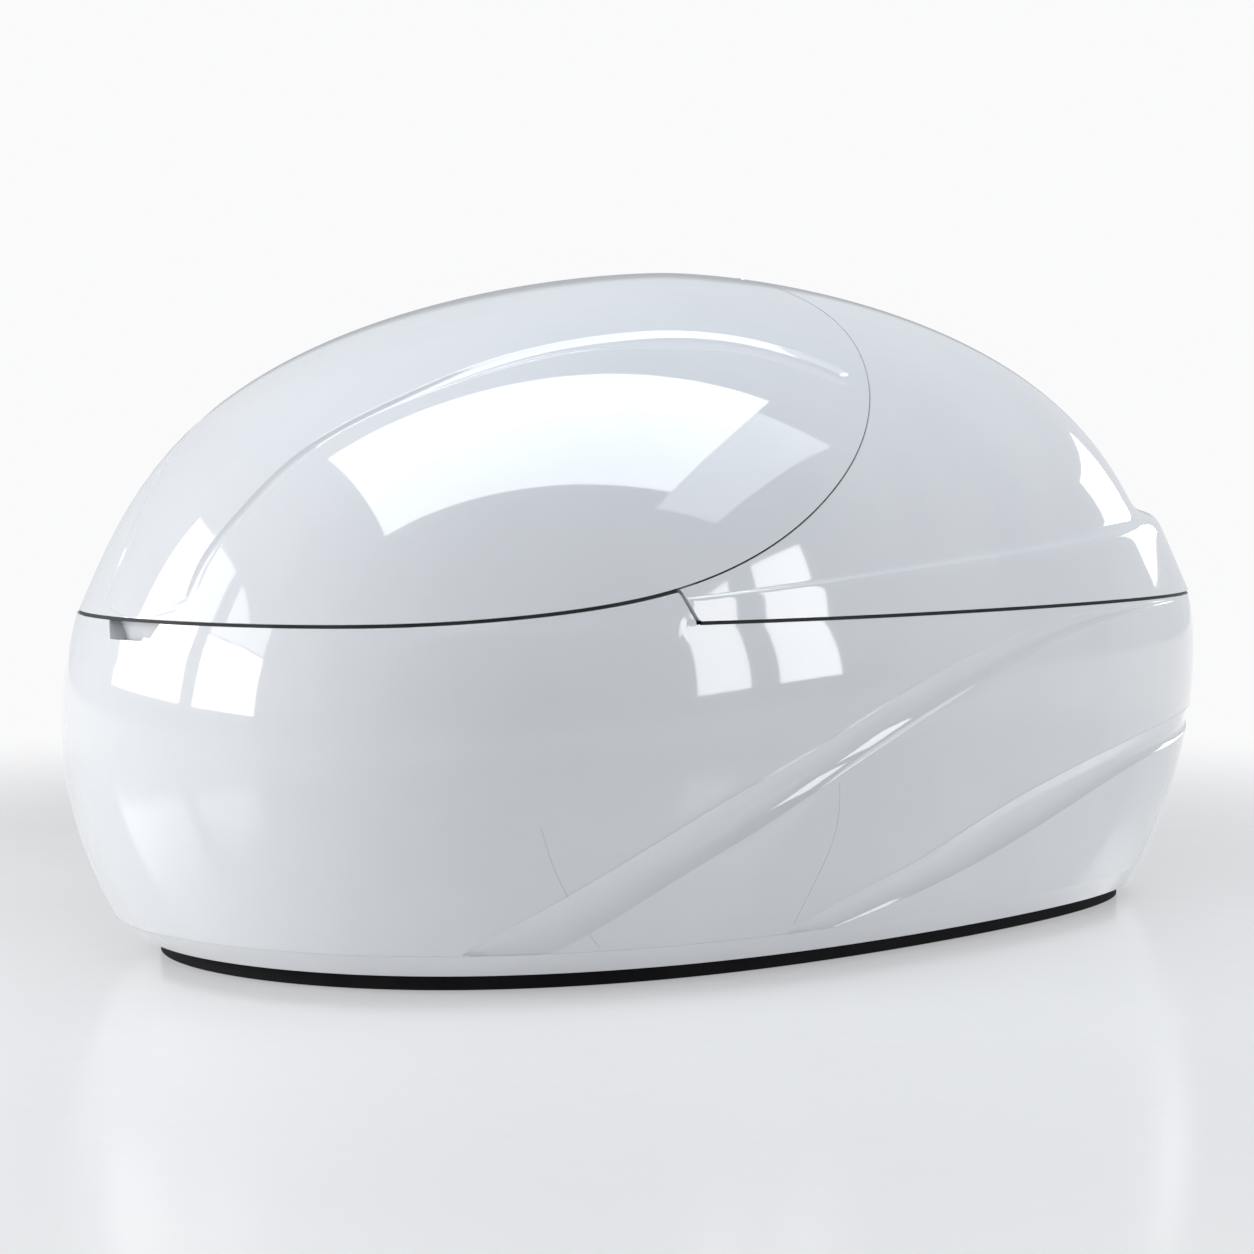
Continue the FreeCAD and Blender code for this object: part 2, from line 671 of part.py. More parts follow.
nodes["tub"] = tub
nodes["tub_insulation"] = foam.cut(mat_rooms + foam_holes)
nodes["heater_mats"] = Part.makeCompound(mats)
nodes["sound_transducers"] = Part.makeCompound(
    [upright(x, y, mat_top - 28, mat_top, 38).fuse(upright(x, y, mat_top - 36, mat_top - 28, 24))
     for x, y in sound_spots])

# ---- frame, feet, plinth and tray ------------------------------------------------
half_tube = tube_size / 2
low_rail = rail_bottom - 1.7 + half_tube
high_rail = floor_height - tub_wall - 2 * fit_gap - foam_thickness - half_tube


def frame_boxes(half, end):
    """Square bars of the frame; end is how far they run past their nominal length."""
    bars = []
    for y in (-rail_side, rail_side):
        bars.append(box(rail_front - end, rail_rear + end, y - half, y + half, low_rail - half,
                        low_rail + half))
        bars.append(box(rail_front - end, high_rail_rear + end, y - half, y + half, high_rail - half,
                        high_rail + half))
        tail = tail_beam_side if y > 0 else -tail_beam_side
        bars.append(box(cross_stations[-1], tail_beam_rear + end, tail - half, tail + half,
                        low_rail - half, low_rail + half))
        for x in cross_stations[::2]:
            bars.append(box(x - half, x + half, y - half, y + half, low_rail - half, high_rail + half))
        for x in outrigger_stations:
            side = outrigger_side if y > 0 else -outrigger_side
            bars.append(box(x - half, x + half, min(y, side) - end, max(y, side) + end,
                            low_rail - half, low_rail + half))
    for x in cross_stations:
        bars.append(box(x - half, x + half, -rail_side, rail_side, low_rail - half, low_rail + half))
        bars.append(box(x - half, x + half, -rail_side, rail_side, high_rail - half, high_rail + half))
    return bars


bars = frame_boxes(half_tube, 0)
hollows = frame_boxes(half_tube - tube_wall, -tube_wall)
nodes["base_frame"] = bars[0].multiFuse(bars[1:]).cut(hollows[0].multiFuse(hollows[1:]))
feet = [(x, y) for x in cross_stations[:-1] for y in (-rail_side, rail_side)]
feet += [(cross_stations[-1], y) for y in (-near_tail_foot_side, near_tail_foot_side)]
feet += [(tail_beam_rear - half_tube, y) for y in (-tail_beam_side, tail_beam_side)]
nodes["levelling_feet"] = Part.makeCompound(
    [fused([upright(x, y, 0, foot_height, foot_radius), upright(x, y, 5, low_rail - half_tube - fit_gap,
                                                                stud_radius),
            upright(x, y, low_rail - half_tube - fit_gap - nut_height, low_rail - half_tube - fit_gap,
                    nut_radius)])
     for x, y in feet])
nodes["plinth"] = ring_slab(lambda z, inset: base_ring(skirt_bottom, inset)[:6] + (z,), plinth_lift,
                            skirt_bottom - fit_gap, plinth_setback, plinth_setback + plinth_wall)
tray_top = low_rail + half_tube + 3.3
nodes["equipment_tray"] = box(tray_front, tray_rear, -399.7, 399.7, tray_top - 3, tray_top).common(
    base_body(base_skin + 20))


# ---- pipework -------------------------------------------------------------------
def pipe(points, radius=24.0, wall=4.0, sockets=True):
    points = [V(*p) for p in points]
    body = [rod(a, b, radius) for a, b in zip(points, points[1:])]
    bore = [rod(a, b, radius - wall) for a, b in zip(points, points[1:])]
    for before, corner, after in zip(points, points[1:], points[2:]):
        body.append(Part.makeSphere(radius + 4, corner))
        bore.append(Part.makeSphere(radius - wall, corner))
        for other in (before, after):
            way = (other - corner).normalize()
            body.append(Part.makeCylinder(radius + 4, 44, corner, way))
    return fused(body).cut(fused(bore))


plant_height = 150.0
pump_motor = (560.0, 740.0, 55.0)
pump_end = (480.0, 558.0, 62.0)
pump_outlet = 519.0
nozzle = 24.0
filter_side = 240.0
filter_span = (420.0, 800.0)
filter_radius = 62.0
loop_station = 214.0
uv_span = (420.0, 860.0)
uv_radius = 40.0
uv_outlet = 820.0
return_side = 345.0
riser_side = 665.0
riser_elbow = 46.0

pump = fused([along_x(*pump_motor[:2], 0, plant_height, pump_motor[2]),
              along_x(*pump_end[:2], 0, plant_height, pump_end[2]),
              along_x(pump_end[1] - 5, pump_motor[0] + 5, 0, plant_height, 48),
              along_x(pump_motor[1] - 2, pump_motor[1] + 18, 0, plant_height, 51),
              along_x(pump_end[0] - 24, pump_end[0] + 5, 0, plant_height, nozzle),
              along_y(pump_outlet, 0, 86, plant_height, nozzle),
              box(600, 720, -42, 42, tray_top + fit_gap, plant_height - 20),
              box(620, 690, -30, 30, plant_height + 40, plant_height + 72)])
pump = pump.cut([along_x(pump_end[0] - 30, pump_end[0] + 30, 0, plant_height, nozzle - 5),
                 along_y(pump_outlet, 30, 90, plant_height, nozzle - 5)])
nodes["pump"] = pump
nodes["suction_pipe"] = pipe([(drain_stations[0], 0, floor_height - 68), (drain_stations[0], 0, plant_height),
                              (pump_end[0] - 24.3, 0, plant_height)])
nodes["drain_fittings"] = Part.makeCompound(
    [fused([upright(x, 0, floor_height + fit_gap, floor_height + 4, 46),
            upright(x, 0, floor_height - 67.7, floor_height + 4, 30),
            upright(x, 0, floor_height - 26, floor_height - 8.3, 40)]).cut(
        upright(x, 0, floor_height - 80, floor_height + 10, 22)) for x in drain_stations])
cover_slots = [box(-38, 38, y - 2, y + 2, 0, 20) for y in (-24, -16, -8, 0, 8, 16, 24)]
cover = upright(0, 0, 0, 5, 46).cut([slot.common(upright(0, 0, -5, 30, 38)) for slot in cover_slots])
covers = []
for x in drain_stations:
    piece = cover.copy()
    piece.translate(V(x, 0, floor_height + 4))
    covers.append(piece)
nodes["drain_covers"] = Part.makeCompound(covers)

canister = fused([along_x(*filter_span, filter_side, plant_height, filter_radius),
                  along_x(filter_span[0] - 24, filter_span[0] + 5, filter_side, plant_height, nozzle),
                  along_y(pump_outlet, filter_side - filter_radius - 23, filter_side - 50, plant_height,
                          nozzle),
                  box(filter_span[0] + 30, filter_span[0] + 60, filter_side - 40, filter_side + 40,
                      tray_top + fit_gap, plant_height - 40),
                  box(filter_span[1] - 60, filter_span[1] - 30, filter_side - 40, filter_side + 40,
                      tray_top + fit_gap, plant_height - 40)])
nodes["filter_canister"] = canister.cut([
    along_x(filter_span[0] + 5, filter_span[1] + 1, filter_side, plant_height, filter_radius - 4),
    along_x(filter_span[0] - 30, filter_span[0] + 10, filter_side, plant_height, nozzle - 5),
    along_y(pump_outlet, filter_side - 100, filter_side - 50, plant_height, nozzle - 5)])
nodes["filter_lid"] = along_x(filter_span[1] + fit_gap, filter_span[1] + 26, filter_side, plant_height,
                              64).fuse(
    box(filter_span[1] + 20, filter_span[1] + 46, filter_side - 40, filter_side + 40, plant_height - 8,
        plant_height + 8))
nodes["filter_cartridge"] = along_x(filter_span[0] + 12, filter_span[1] - 4, filter_side, plant_height,
                                    48).cut(
    along_x(filter_span[0], filter_span[1], filter_side, plant_height, 18))
nodes["filter_pipe"] = pipe([(pump_outlet, 86.3, plant_height),
                             (pump_outlet, filter_side - filter_radius - 23.3, plant_height)])
nodes["loop_pipe"] = pipe([(filter_span[0] - 24.3, filter_side, plant_height),
                           (loop_station, filter_side, plant_height),
                           (loop_station, -filter_side, plant_height),
                           (uv_span[0] - 24.3, -filter_side, plant_height)])
uv = fused([along_x(*uv_span, -filter_side, plant_height, uv_radius),
            along_x(uv_span[0] - 24, uv_span[0] + 5, -filter_side, plant_height, nozzle),
            along_x(uv_span[1] - 6, uv_span[1] + 22, -filter_side, plant_height, uv_radius + 5),
            along_y(uv_outlet, -filter_side - uv_radius - 20, -filter_side, plant_height, nozzle),
            box(uv_span[0] + 60, uv_span[0] + 84, -filter_side - 26, -filter_side + 26, tray_top + fit_gap,
                plant_height - 20),
            box(uv_span[1] - 84, uv_span[1] - 60, -filter_side - 26, -filter_side + 26, tray_top + fit_gap,
                plant_height - 20)])
nodes["uv_steriliser"] = uv.cut([
    along_x(uv_span[0] + 4, uv_span[1] - 4, -filter_side, plant_height, uv_radius - 3),
    along_x(uv_span[0] - 30, uv_span[0] + 10, -filter_side, plant_height, nozzle - 5),
    along_y(uv_outlet, -filter_side - uv_radius - 30, -filter_side, plant_height, nozzle - 5)])
nodes["return_pipe"] = pipe([(uv_outlet, -filter_side - uv_radius - 20.3, plant_height),
                             (uv_outlet, -return_side, plant_height),
                             (jet_station, -return_side, plant_height),
                             (jet_station, -riser_side, plant_height), (jet_station, -riser_side, jet_height),
                             (jet_station, -riser_side + riser_elbow, jet_height)])
jet = fused([along_y(jet_station, -riser_side + riser_elbow + fit_gap, -jet_seat + 5, jet_height, 20),
             along_y(jet_station, -jet_seat + fit_gap, -jet_seat + 5, jet_height, 32)])
nodes["return_jet"] = jet.cut(along_y(jet_station, -riser_side, -jet_seat + 20, jet_height, 12))

valve_station = 925.0
valve_end = 1015.0
nodes["drain_pipe"] = pipe([(drain_stations[1], 0, floor_height - 68), (drain_stations[1], 0, plant_height),
                            (valve_station - 45.3, 0, plant_height)])
stem_top = plant_height + 44
valve = fused([Part.makeSphere(34, V(valve_station, 0, plant_height)),
               along_x(valve_station - 45, valve_end, 0, plant_height, 26),
               along_x(valve_end - 20, valve_end, 0, plant_height, 32),
               upright(valve_station, 0, plant_height, stem_top, 12)])
nodes["drain_valve"] = valve.cut([along_x(valve_station - 60, valve_end + 10, 0, plant_height, 18),
                                  upright(valve_station, 0, stem_top - 14, stem_top + 1, 5 + running_gap)])
nodes["valve_lever"] = fused([upright(valve_station, 0, stem_top - 13, stem_top + 8, 5),
                              upright(valve_station, 0, stem_top + 0.5, stem_top + 8, 13),
                              box(valve_station, valve_station + 84, -8, 8, stem_top + 2, stem_top + 7)])

# ---- control box on the tray ------------------------------------------------------
control = (-330.0, -30.0, 60.0, 300.0)
control_height = 100.0
wall = 3.0
x0, x1, y0, y1 = control
z0 = tray_top + fit_gap
nodes["control_box"] = box(x0, x1, y0, y1, z0, z0 + control_height).cut(
    box(x0 + wall, x1 - wall, y0 + wall, y1 - wall, z0 + wall, z0 + control_height + 1))
nodes["control_lid"] = box(x0 - 2, x1 + 2, y0 - 2, y1 + 2, z0 + control_height + fit_gap,
                           z0 + control_height + 6)
nodes["control_board"] = box(x0 + 30, x1 - 30, y0 + 30, y1 - 30, z0 + 14, z0 + 16).fuse(
    [box(x0 + 60, x0 + 130, y0 + 60, y0 + 120, z0 + 15, z0 + 55),
     box(x1 - 120, x1 - 60, y0 + 60, y0 + 160, z0 + 15, z0 + 42)]
    + [upright(x, y, z0 + wall, z0 + 15, 4) for x in (x0 + 40, x1 - 40) for y in (y0 + 40, y1 - 40)])

# ---- lights, rails, buttons and fan in the tub ------------------------------------------
housings = []
lenses = []
for seat, way in ((light_front, 1), (light_rear, -1)):
    def span(a, b, radius):
        return along_x(min(seat + way * a, seat + way * b), max(seat + way * a, seat + way * b), 0,
                       light_height, radius)
    body = fused([span(fit_gap, 6, 46), span(-62, 6, 36)])
    housings.append(body.cut([span(-56, 10, 31), span(2, 10, 38)]))
    lenses.append(span(2.3, 7, 37.6))
nodes["light_housings"] = Part.makeCompound(housings)
nodes["light_lenses"] = Part.makeCompound(lenses)

rail_span = (-500.0, -220.0)
rail_offset = 692.0
rail_lift = 38.0
rails = []
for y in (-rail_offset, rail_offset):
    rails.append(fused([along_x(*rail_span, y, deck_height + rail_lift, 8),
                        Part.makeSphere(8, V(rail_span[0], y, deck_height + rail_lift)),
                        Part.makeSphere(8, V(rail_span[1], y, deck_height + rail_lift)),
                        upright(rail_span[0], y, deck_height + fit_gap, deck_height + rail_lift, 8),
                        upright(rail_span[1], y, deck_height + fit_gap, deck_height + rail_lift, 8),
                        upright(rail_span[0], y, deck_height + fit_gap, deck_height + 5, 18),
                        upright(rail_span[1], y, deck_height + fit_gap, deck_height + 5, 18)]))
nodes["grab_rails"] = Part.makeCompound(rails)

button_radius = 15.0
button_travel = 3.0
bezels = []
for y in (-button_side, button_side):
    bezel = fused([upright(button_station, y, deck_height + fit_gap, deck_height + 3.3, 23),
                   upright(button_station, y, deck_height - 24, deck_height + 1, 18.7)])
    bezels.append(bezel.cut([upright(button_station, y, deck_height - 20, deck_height + 5,
                                     button_radius + running_gap)]))
nodes["button_bezels"] = Part.makeCompound(bezels)
for name, y in (("light_button", -button_side), ("call_button", button_side)):
    button = upright(button_station, y, deck_height - 14, deck_height + 7.5, button_radius)
    dish = Part.makeSphere(60, V(button_station, y, deck_height + 66.3))
    nodes[name] = button.cut(dish)

fan_top = deck_height - deck_thickness
nodes["fan_housing"] = fused([upright(fan_station, 0, fan_top - 40, fan_top - fit_gap, fan_radius + 6).cut(
                                  upright(fan_station, 0, fan_top - 50, fan_top + 1, fan_radius)),
                              upright(fan_station, 0, fan_top - 40, fan_top - 30, 18),
                              upright(fan_station, 0, fan_top - 40, fan_top - 6, 3),
                              box(fan_station - fan_radius - 3, fan_station + fan_radius + 3, -5, 5,
                                  fan_top - 40, fan_top - 34),
                              box(fan_station - 5, fan_station + 5, -fan_radius - 3, fan_radius + 3,
                                  fan_top - 40, fan_top - 34)])
blade = box(14, fan_radius - 2, -9, 9, -1, 1)
blade.rotate(V(0, 0, 0), V(1, 0, 0), 32)
rotor = [upright(fan_station, 0, fan_top - 28, fan_top - 8, 17)]
for i in range(7):
    piece = blade.copy()
    piece.rotate(V(0, 0, 0), V(0, 0, 1), 360 / 7 * i)
    piece.translate(V(fan_station, 0, fan_top - 18))
    rotor.append(piece)
nodes["fan_rotor"] = fused(rotor).cut(upright(fan_station, 0, fan_top - 40, fan_top, 3 + running_gap))
grille = fused([upright(fan_station, 0, deck_height + fit_gap, deck_height + 4, fan_radius + 5).cut(
                    upright(fan_station, 0, deck_height - 1, deck_height + 6, fan_radius - 4)),
                upright(fan_station, 0, deck_height + fit_gap, deck_height + 4, 12)]
               + [upright(fan_station, 0, deck_height + fit_gap, deck_height + 3, r + 2).cut(
                   upright(fan_station, 0, deck_height - 1, deck_height + 5, r - 2)) for r in (22, 32)]
               + [box(fan_station - fan_radius, fan_station + fan_radius, -2, 2, deck_height + fit_gap,
                      deck_height + 3),
                  box(fan_station - 2, fan_station + 2, -fan_radius, fan_radius, deck_height + fit_gap,
                      deck_height + 3)])
nodes["vent_grille"] = grille

# ---- handle inside the lid ------------------------------------------------------------
handle_x, handle_z, handle_half = -1130.0, 770.0, 95.0
handle = [along_y(handle_x, -handle_half, handle_half, handle_z, 9)]
for y in (-handle_half, handle_half):
    handle.append(Part.makeSphere(9, V(handle_x, y, handle_z)))
    handle.append(along_x(handle_x - 90, handle_x, y, handle_z, 9))
nodes["lid_handle"] = fused(handle).common(dome_body(dome_wall + fit_gap, rim_height))

# ---- bolts from the deck into the canopy's foot --------------------------------------------
bolts = []
holes = []
for s in (0.12, 0.36, 0.6, 0.8, 0.93):
    for side in (-1, 1):
        p = plan_point(dome_ring(deck_height, 34), s)
        y = p.y * side
        bolts.append(upright(p.x, y, deck_height - deck_thickness - 5.8,
                             deck_height - deck_thickness - fit_gap, 6.5).fuse(
            upright(p.x, y, deck_height - deck_thickness - 5, deck_height + 8, 3.9)))
        holes.append(upright(p.x, y, deck_height - 20, deck_height + 9, 4.2))
nodes["canopy_bolts"] = Part.makeCompound(bolts)
nodes["tub"] = nodes["tub"].cut(holes)
nodes["canopy_liner"] = nodes["canopy_liner"].cut(holes)

# ---- hinge ---------------------------------------------------------------------------
knuckle = hinge_length / knuckle_count


def hinge_knuckle(index, bore):
    y0 = -hinge_length / 2 + knuckle * index + knuckle_gap / 2
    y1 = y0 + knuckle - knuckle_gap
    way = 1 if index % 2 == 0 else -1          # fixed ones reach back, the lid's reach forward
    barrel = along_y(hinge_x, y0, y1, hinge_z, barrel_radius)
    side = sorted((hinge_x + way * 1.5, hinge_x + way * (1.5 + tongue + 1.5)))
    drop = hinge_z - leaf_drop - leaf_thickness
    arm = box(side[0] if way > 0 else side[0], side[1], y0, y1, drop, hinge_z)
    return barrel.fuse(arm).cut(along_y(hinge_x, y0 - 1, y1 + 1, hinge_z, bore))


def hinge_leaf(way, indices, bore):
    far = hinge_x + way * leaf_reach
    near = hinge_x + way * (1.5 + tongue)
    drop = hinge_z - leaf_drop - leaf_thickness
    plate = box(min(near, far), max(near, far), -hinge_length / 2 + 0.3, hinge_length / 2 - 0.3, drop,
                drop + leaf_thickness)
    return fused([plate] + [hinge_knuckle(i, bore) for i in indices])


nodes["hinge_fixed_leaf"] = hinge_leaf(1, (0, 2, 4), pin_radius + running_gap)
nodes["hinge_lid_leaf"] = hinge_leaf(-1, (1, 3), pin_radius + running_gap)
nodes["hinge_pin"] = along_y(hinge_x, -hinge_length / 2, hinge_length / 2, hinge_z, pin_radius)
leaf_rooms = {way: box(min(hinge_x, hinge_x + way * (leaf_reach + 0.5)),
                       max(hinge_x, hinge_x + way * (leaf_reach + 0.5)),
                       -hinge_length / 2 - 4, hinge_length / 2 + 4,
                       hinge_z - leaf_drop - leaf_thickness - 0.3,
                       hinge_z - leaf_drop + 0.3) for way in (-1, 1)}
for names, way in ((("lid_liner", "lid_foam"), -1), (("canopy_liner", "canopy_foam"), 1)):
    for name in names:
        nodes[name] = nodes[name].cut([slot_room, leaf_rooms[way]])


# ---- gas struts -----------------------------------------------------------------------
strut_way = V(strut_head[0] - strut_foot[0], 0, strut_head[1] - strut_foot[1])
strut_length = strut_way.Length
strut_way.normalize()


def on_strut(side, distance):
    return V(strut_foot[0], side, strut_foot[1]) + strut_way * distance


def eye(side, distance, bore):
    centre = on_strut(side, distance)
    ring = along_y(centre.x, side - strut_eye_width / 2, side + strut_eye_width / 2, centre.z,
                   strut_eye_radius)
    return ring, along_y(centre.x, side - 20, side + 20, centre.z, bore)


for name, side in (("left", -strut_side), ("right", strut_side)):
    ring, hole = eye(side, 0, strut_pin_radius + running_gap)
    barrel_end = barrel_start + strut_barrel_length
    body = fused([ring, rod(on_strut(side, 5), on_strut(side, barrel_start + 2), 6),
                  rod(on_strut(side, barrel_start), on_strut(side, barrel_end), strut_barrel_radius)])
    nodes["strut_cylinder_" + name] = body.cut([
        hole, rod(on_strut(side, barrel_start + 4), on_strut(side, barrel_end - 12), 8.55),
        rod(on_strut(side, barrel_end - 13), on_strut(side, barrel_end + 5), strut_rod_radius + running_gap)])
    ring, hole = eye(side, strut_length, strut_pin_radius + running_gap)
    body = fused([ring, rod(on_strut(side, strut_rod_tail + 5), on_strut(side, strut_length - 5),
                            strut_rod_radius),
                  rod(on_strut(side, strut_rod_tail), on_strut(side, strut_rod_tail + 12), 8.5)])
    nodes["strut_rod_" + name] = body.cut(hole)

fixed_mounts = []
lid_mounts = []
inner_dome = dome_body(dome_wall + fit_gap, rim_height)
for side in (-1, 1):
    x, z = strut_foot
    face = side * (strut_side + strut_barrel_radius + 1)
    tip = side * (strut_side - strut_eye_width / 2 - 0.6)

    def cross(a, b, radius, x, z):
        return along_y(x, min(a, b), max(a, b), z, radius)
    fixed_mounts.append(fused([cross(face, side * 700, 18, x, z).common(inner_dome),
                               cross(face + side * 5, tip - side * 3, strut_pin_radius, x, z),
                               cross(tip, tip - side * 3, 7, x, z)]))
    x, z = strut_head
    face = side * (strut_side + strut_eye_width / 2 + 2)
    lid_mounts.append(cross(face, side * 700, 18, x, z).common(inner_dome))
nodes["strut_mounts"] = Part.makeCompound(fixed_mounts)
nodes["lid_mounts"] = Part.makeCompound(lid_mounts)

# ---- one STEP file for each piece --------------------------------------------------------
os.makedirs("parts", exist_ok=True)
for name, shape in nodes.items():
    shape.exportStep(os.path.join("parts", name + ".step"))
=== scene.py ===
import bpy
import bmesh
import json
import math
import numpy as np
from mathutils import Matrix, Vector


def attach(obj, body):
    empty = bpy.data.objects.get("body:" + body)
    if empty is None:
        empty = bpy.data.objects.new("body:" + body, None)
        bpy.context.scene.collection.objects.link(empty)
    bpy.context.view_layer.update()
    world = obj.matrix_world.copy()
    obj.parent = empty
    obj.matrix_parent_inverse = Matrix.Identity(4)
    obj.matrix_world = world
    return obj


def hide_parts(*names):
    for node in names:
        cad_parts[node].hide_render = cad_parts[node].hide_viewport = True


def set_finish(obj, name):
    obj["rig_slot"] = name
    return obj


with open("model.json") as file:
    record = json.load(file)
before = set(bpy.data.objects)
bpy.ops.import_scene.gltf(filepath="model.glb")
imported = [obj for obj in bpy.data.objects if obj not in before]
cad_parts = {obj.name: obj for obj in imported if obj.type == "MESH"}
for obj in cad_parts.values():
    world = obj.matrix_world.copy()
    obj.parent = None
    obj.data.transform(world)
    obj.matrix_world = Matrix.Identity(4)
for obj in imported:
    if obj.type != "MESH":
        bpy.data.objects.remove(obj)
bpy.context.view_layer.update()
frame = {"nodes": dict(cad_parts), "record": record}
nodes = frame["nodes"]
bpy.ops.object.select_all(action="DESELECT")
print("frame loaded")

# sizes of the case, in millimetres, in the frame of the CAD model
case = {
    "halfLength": 1325.0, "halfWidth": 805.0, "height": 1348.0, "widestX": -360.0,
    "rimHeight": 672.0, "skirtBottom": 32.0, "chamferTop": 76.0, "bellyFront": 446.0, "bellyRear": 556.0,
    "skirtInset": (159.0, 141.0), "chamferInset": (100.0, 116.0), "rimInset": (34.5, 13.5),
    "noseSquareness": 0.12, "baseTailPower": 2.39, "domeTailPower": 2.51, "domeRear": 1574.0,
    "apexX": -14.0, "domeLean": 0.411, "domePower": 3.127, "domeRound": 1.724,
    "collarLean": 0.6, "collarSideLean": 0.2, "baseSkin": 14.0, "domeSkin": 10.0, "domeWall": 42.0,
}
frontLength = case["halfLength"] + case["widestX"]
rearLength = case["halfLength"] - case["widestX"]
domeRise = case["height"] - case["rimHeight"]


def planExponent(s, tailPower):
    return np.where(s < 0, 2 + case["noseSquareness"] * s * s * (1 - s * s), 2 + (tailPower - 2) * s * s)


def sideWidth(ring, s):
    # half width of a ring's side at station s, eased from its front value to its rear one
    t = np.clip((s + 1) / 2, 0, 1)
    return ring[3] + (ring[4] - ring[3]) * t * t * (3 - 2 * t)


def planPoint(ring, s):
    # x and half width of a ring at station s, -1 at the nose and 1 at the tail
    centre, front, rear = ring[:3]
    skew = (rear - front) / (rear + front)
    n = planExponent(s, ring[5])
    return (centre + front * (1 + skew) * s / (1 - skew * s),
            sideWidth(ring, s) * np.maximum(1 - np.abs(s) ** n, 0) ** (1 / n))


def stationOf(ring, x):
    centre, front, rear = ring[:3]
    skew = (rear - front) / (rear + front)
    away = x - centre
    return away / (front * (1 + skew) + skew * away)


def stationFromWidth(ring, y, way):
    # station where the ring is y wide, towards the nose where way is -1 and the tail where it is 1
    s = way
    for _ in range(40):
        n = planExponent(s, ring[5])
        s = np.sign(way) * np.maximum(1 - np.minimum(y / sideWidth(ring, s), 1) ** n, 0) ** (1 / n)
    return s


def bulge(z, belly, foot, rim):
    below = foot * ((belly - z) / (belly - case["chamferTop"])) ** 2
    above = rim * ((z - belly) / (case["rimHeight"] - belly)) ** 2
    return np.where(z < belly, below, above)


def baseRing(z, inset=0.0):
    z = np.asarray(z, float)
    t = (case["chamferTop"] - z) / (case["chamferTop"] - case["skirtBottom"])
    chamfer = [a + (b - a) * t for a, b in zip(case["chamferInset"], case["skirtInset"])]
    body = [bulge(z, belly, foot, rim) for belly, foot, rim in
            zip((case["bellyFront"], case["bellyRear"]), case["chamferInset"], case["rimInset"])]
    front, rear = [np.where(z < case["chamferTop"], c, b) for c, b in zip(chamfer, body)]
    return (case["widestX"], frontLength - front - inset, rearLength - rear - inset,
            case["halfWidth"] - front - inset, case["halfWidth"] - rear - inset, case["baseTailPower"])


def domeRing(z, inset=0.0):
    w = (np.asarray(z, float) - case["rimHeight"]) / (domeRise - inset)
    lean = case["domeLean"]
    k = 1 - lean * w - (1 - lean) * np.maximum(w, 0) ** case["domePower"]
    k = np.maximum(k, 0) ** (1 / case["domeRound"])
    centre = case["widestX"] + (case["apexX"] - case["widestX"]) * (1 - k)
    front, rear = case["rimInset"]
    return (centre, (frontLength - front - inset) * k, (case["domeRear"] - inset) * k,
            (case["halfWidth"] - front - inset) * k, (case["halfWidth"] - rear - inset) * k,
            case["domeTailPower"])


def collarRing(z, inset=0.0):
    dome = domeRing(z)
    rise = np.asarray(z, float) - case["rimHeight"]
    rear = rearLength - case["rimInset"][1] - case["collarLean"] * rise
    side = case["halfWidth"] - case["rimInset"][1] - case["collarSideLean"] * rise
    return (dome[0], dome[1] - inset, rear - (dome[0] - case["widestX"]) - inset,
            dome[3] - inset, side - inset, case["baseTailPower"])


def eggRing(z, inset=0.0):
    # the base below the rim, the dome above it
    low = baseRing(z, inset)
    high = domeRing(np.maximum(z, case["rimHeight"]), inset)
    under = np.asarray(z) <= case["rimHeight"]
    return tuple(np.where(under, a, b) for a, b in zip(low, high))


def halfWidthAt(ringOf, x, z, inset=0.0):
    ring = ringOf(z, inset)
    return planPoint(ring, np.clip(stationOf(ring, x), -1, 1))[1]


def outwards(ringOf, points, inset=0.0):
    # unit normals from the surface's own equation
    def field(x, y, z):
        ring = ringOf(z, inset)
        s = stationOf(ring, x)
        n = planExponent(np.clip(s, -1.05, 1.05), ring[5])
        return np.abs(s) ** n + (np.abs(y) / sideWidth(ring, s)) ** n
    x, y, z = points[..., 0], points[..., 1], points[..., 2]
    step = 0.4
    top = case["height"] - inset - 2 * step
    z = np.minimum(z, top)
    grad = np.stack([field(x + step, y, z) - field(x - step, y, z),
                     field(x, y + step, z) - field(x, y - step, z),
                     field(x, y, z + step) - field(x, y, z - step)], -1)
    # the very top of the dome faces up
    grad[..., 2] = np.where(points[..., 2] > top, np.abs(grad[..., 2]) + 1e-4, grad[..., 2])
    return grad / np.maximum(np.linalg.norm(grad, axis=-1, keepdims=True), 1e-12)


def splineThrough(points, count=1200):
    # natural cubic spline over chord length
    p = np.array(points, float)
    t = np.concatenate([[0], np.cumsum(np.linalg.norm(np.diff(p, axis=0), axis=1))])
    h = np.diff(t)
    n = len(p)
    m = np.zeros((n, n))
    rhs = np.zeros((n, p.shape[1]))
    m[0, 0] = m[-1, -1] = 1
    for i in range(1, n - 1):
        m[i, i - 1:i + 2] = h[i - 1], 2 * (h[i - 1] + h[i]), h[i]
        rhs[i] = 6 * ((p[i + 1] - p[i]) / h[i] - (p[i] - p[i - 1]) / h[i - 1])
    c = np.linalg.solve(m, rhs)
    u = np.linspace(0, t[-1], count)
    i = np.clip(np.searchsorted(t, u, "right") - 1, 0, n - 2)
    a, b = (t[i + 1] - u)[:, None], (u - t[i])[:, None]
    hi = h[i][:, None]
    return ((c[i] * a ** 3 + c[i + 1] * b ** 3) / (6 * hi) + (p[i] / hi - c[i] * hi / 6) * a
            + (p[i + 1] / hi - c[i + 1] * hi / 6) * b)


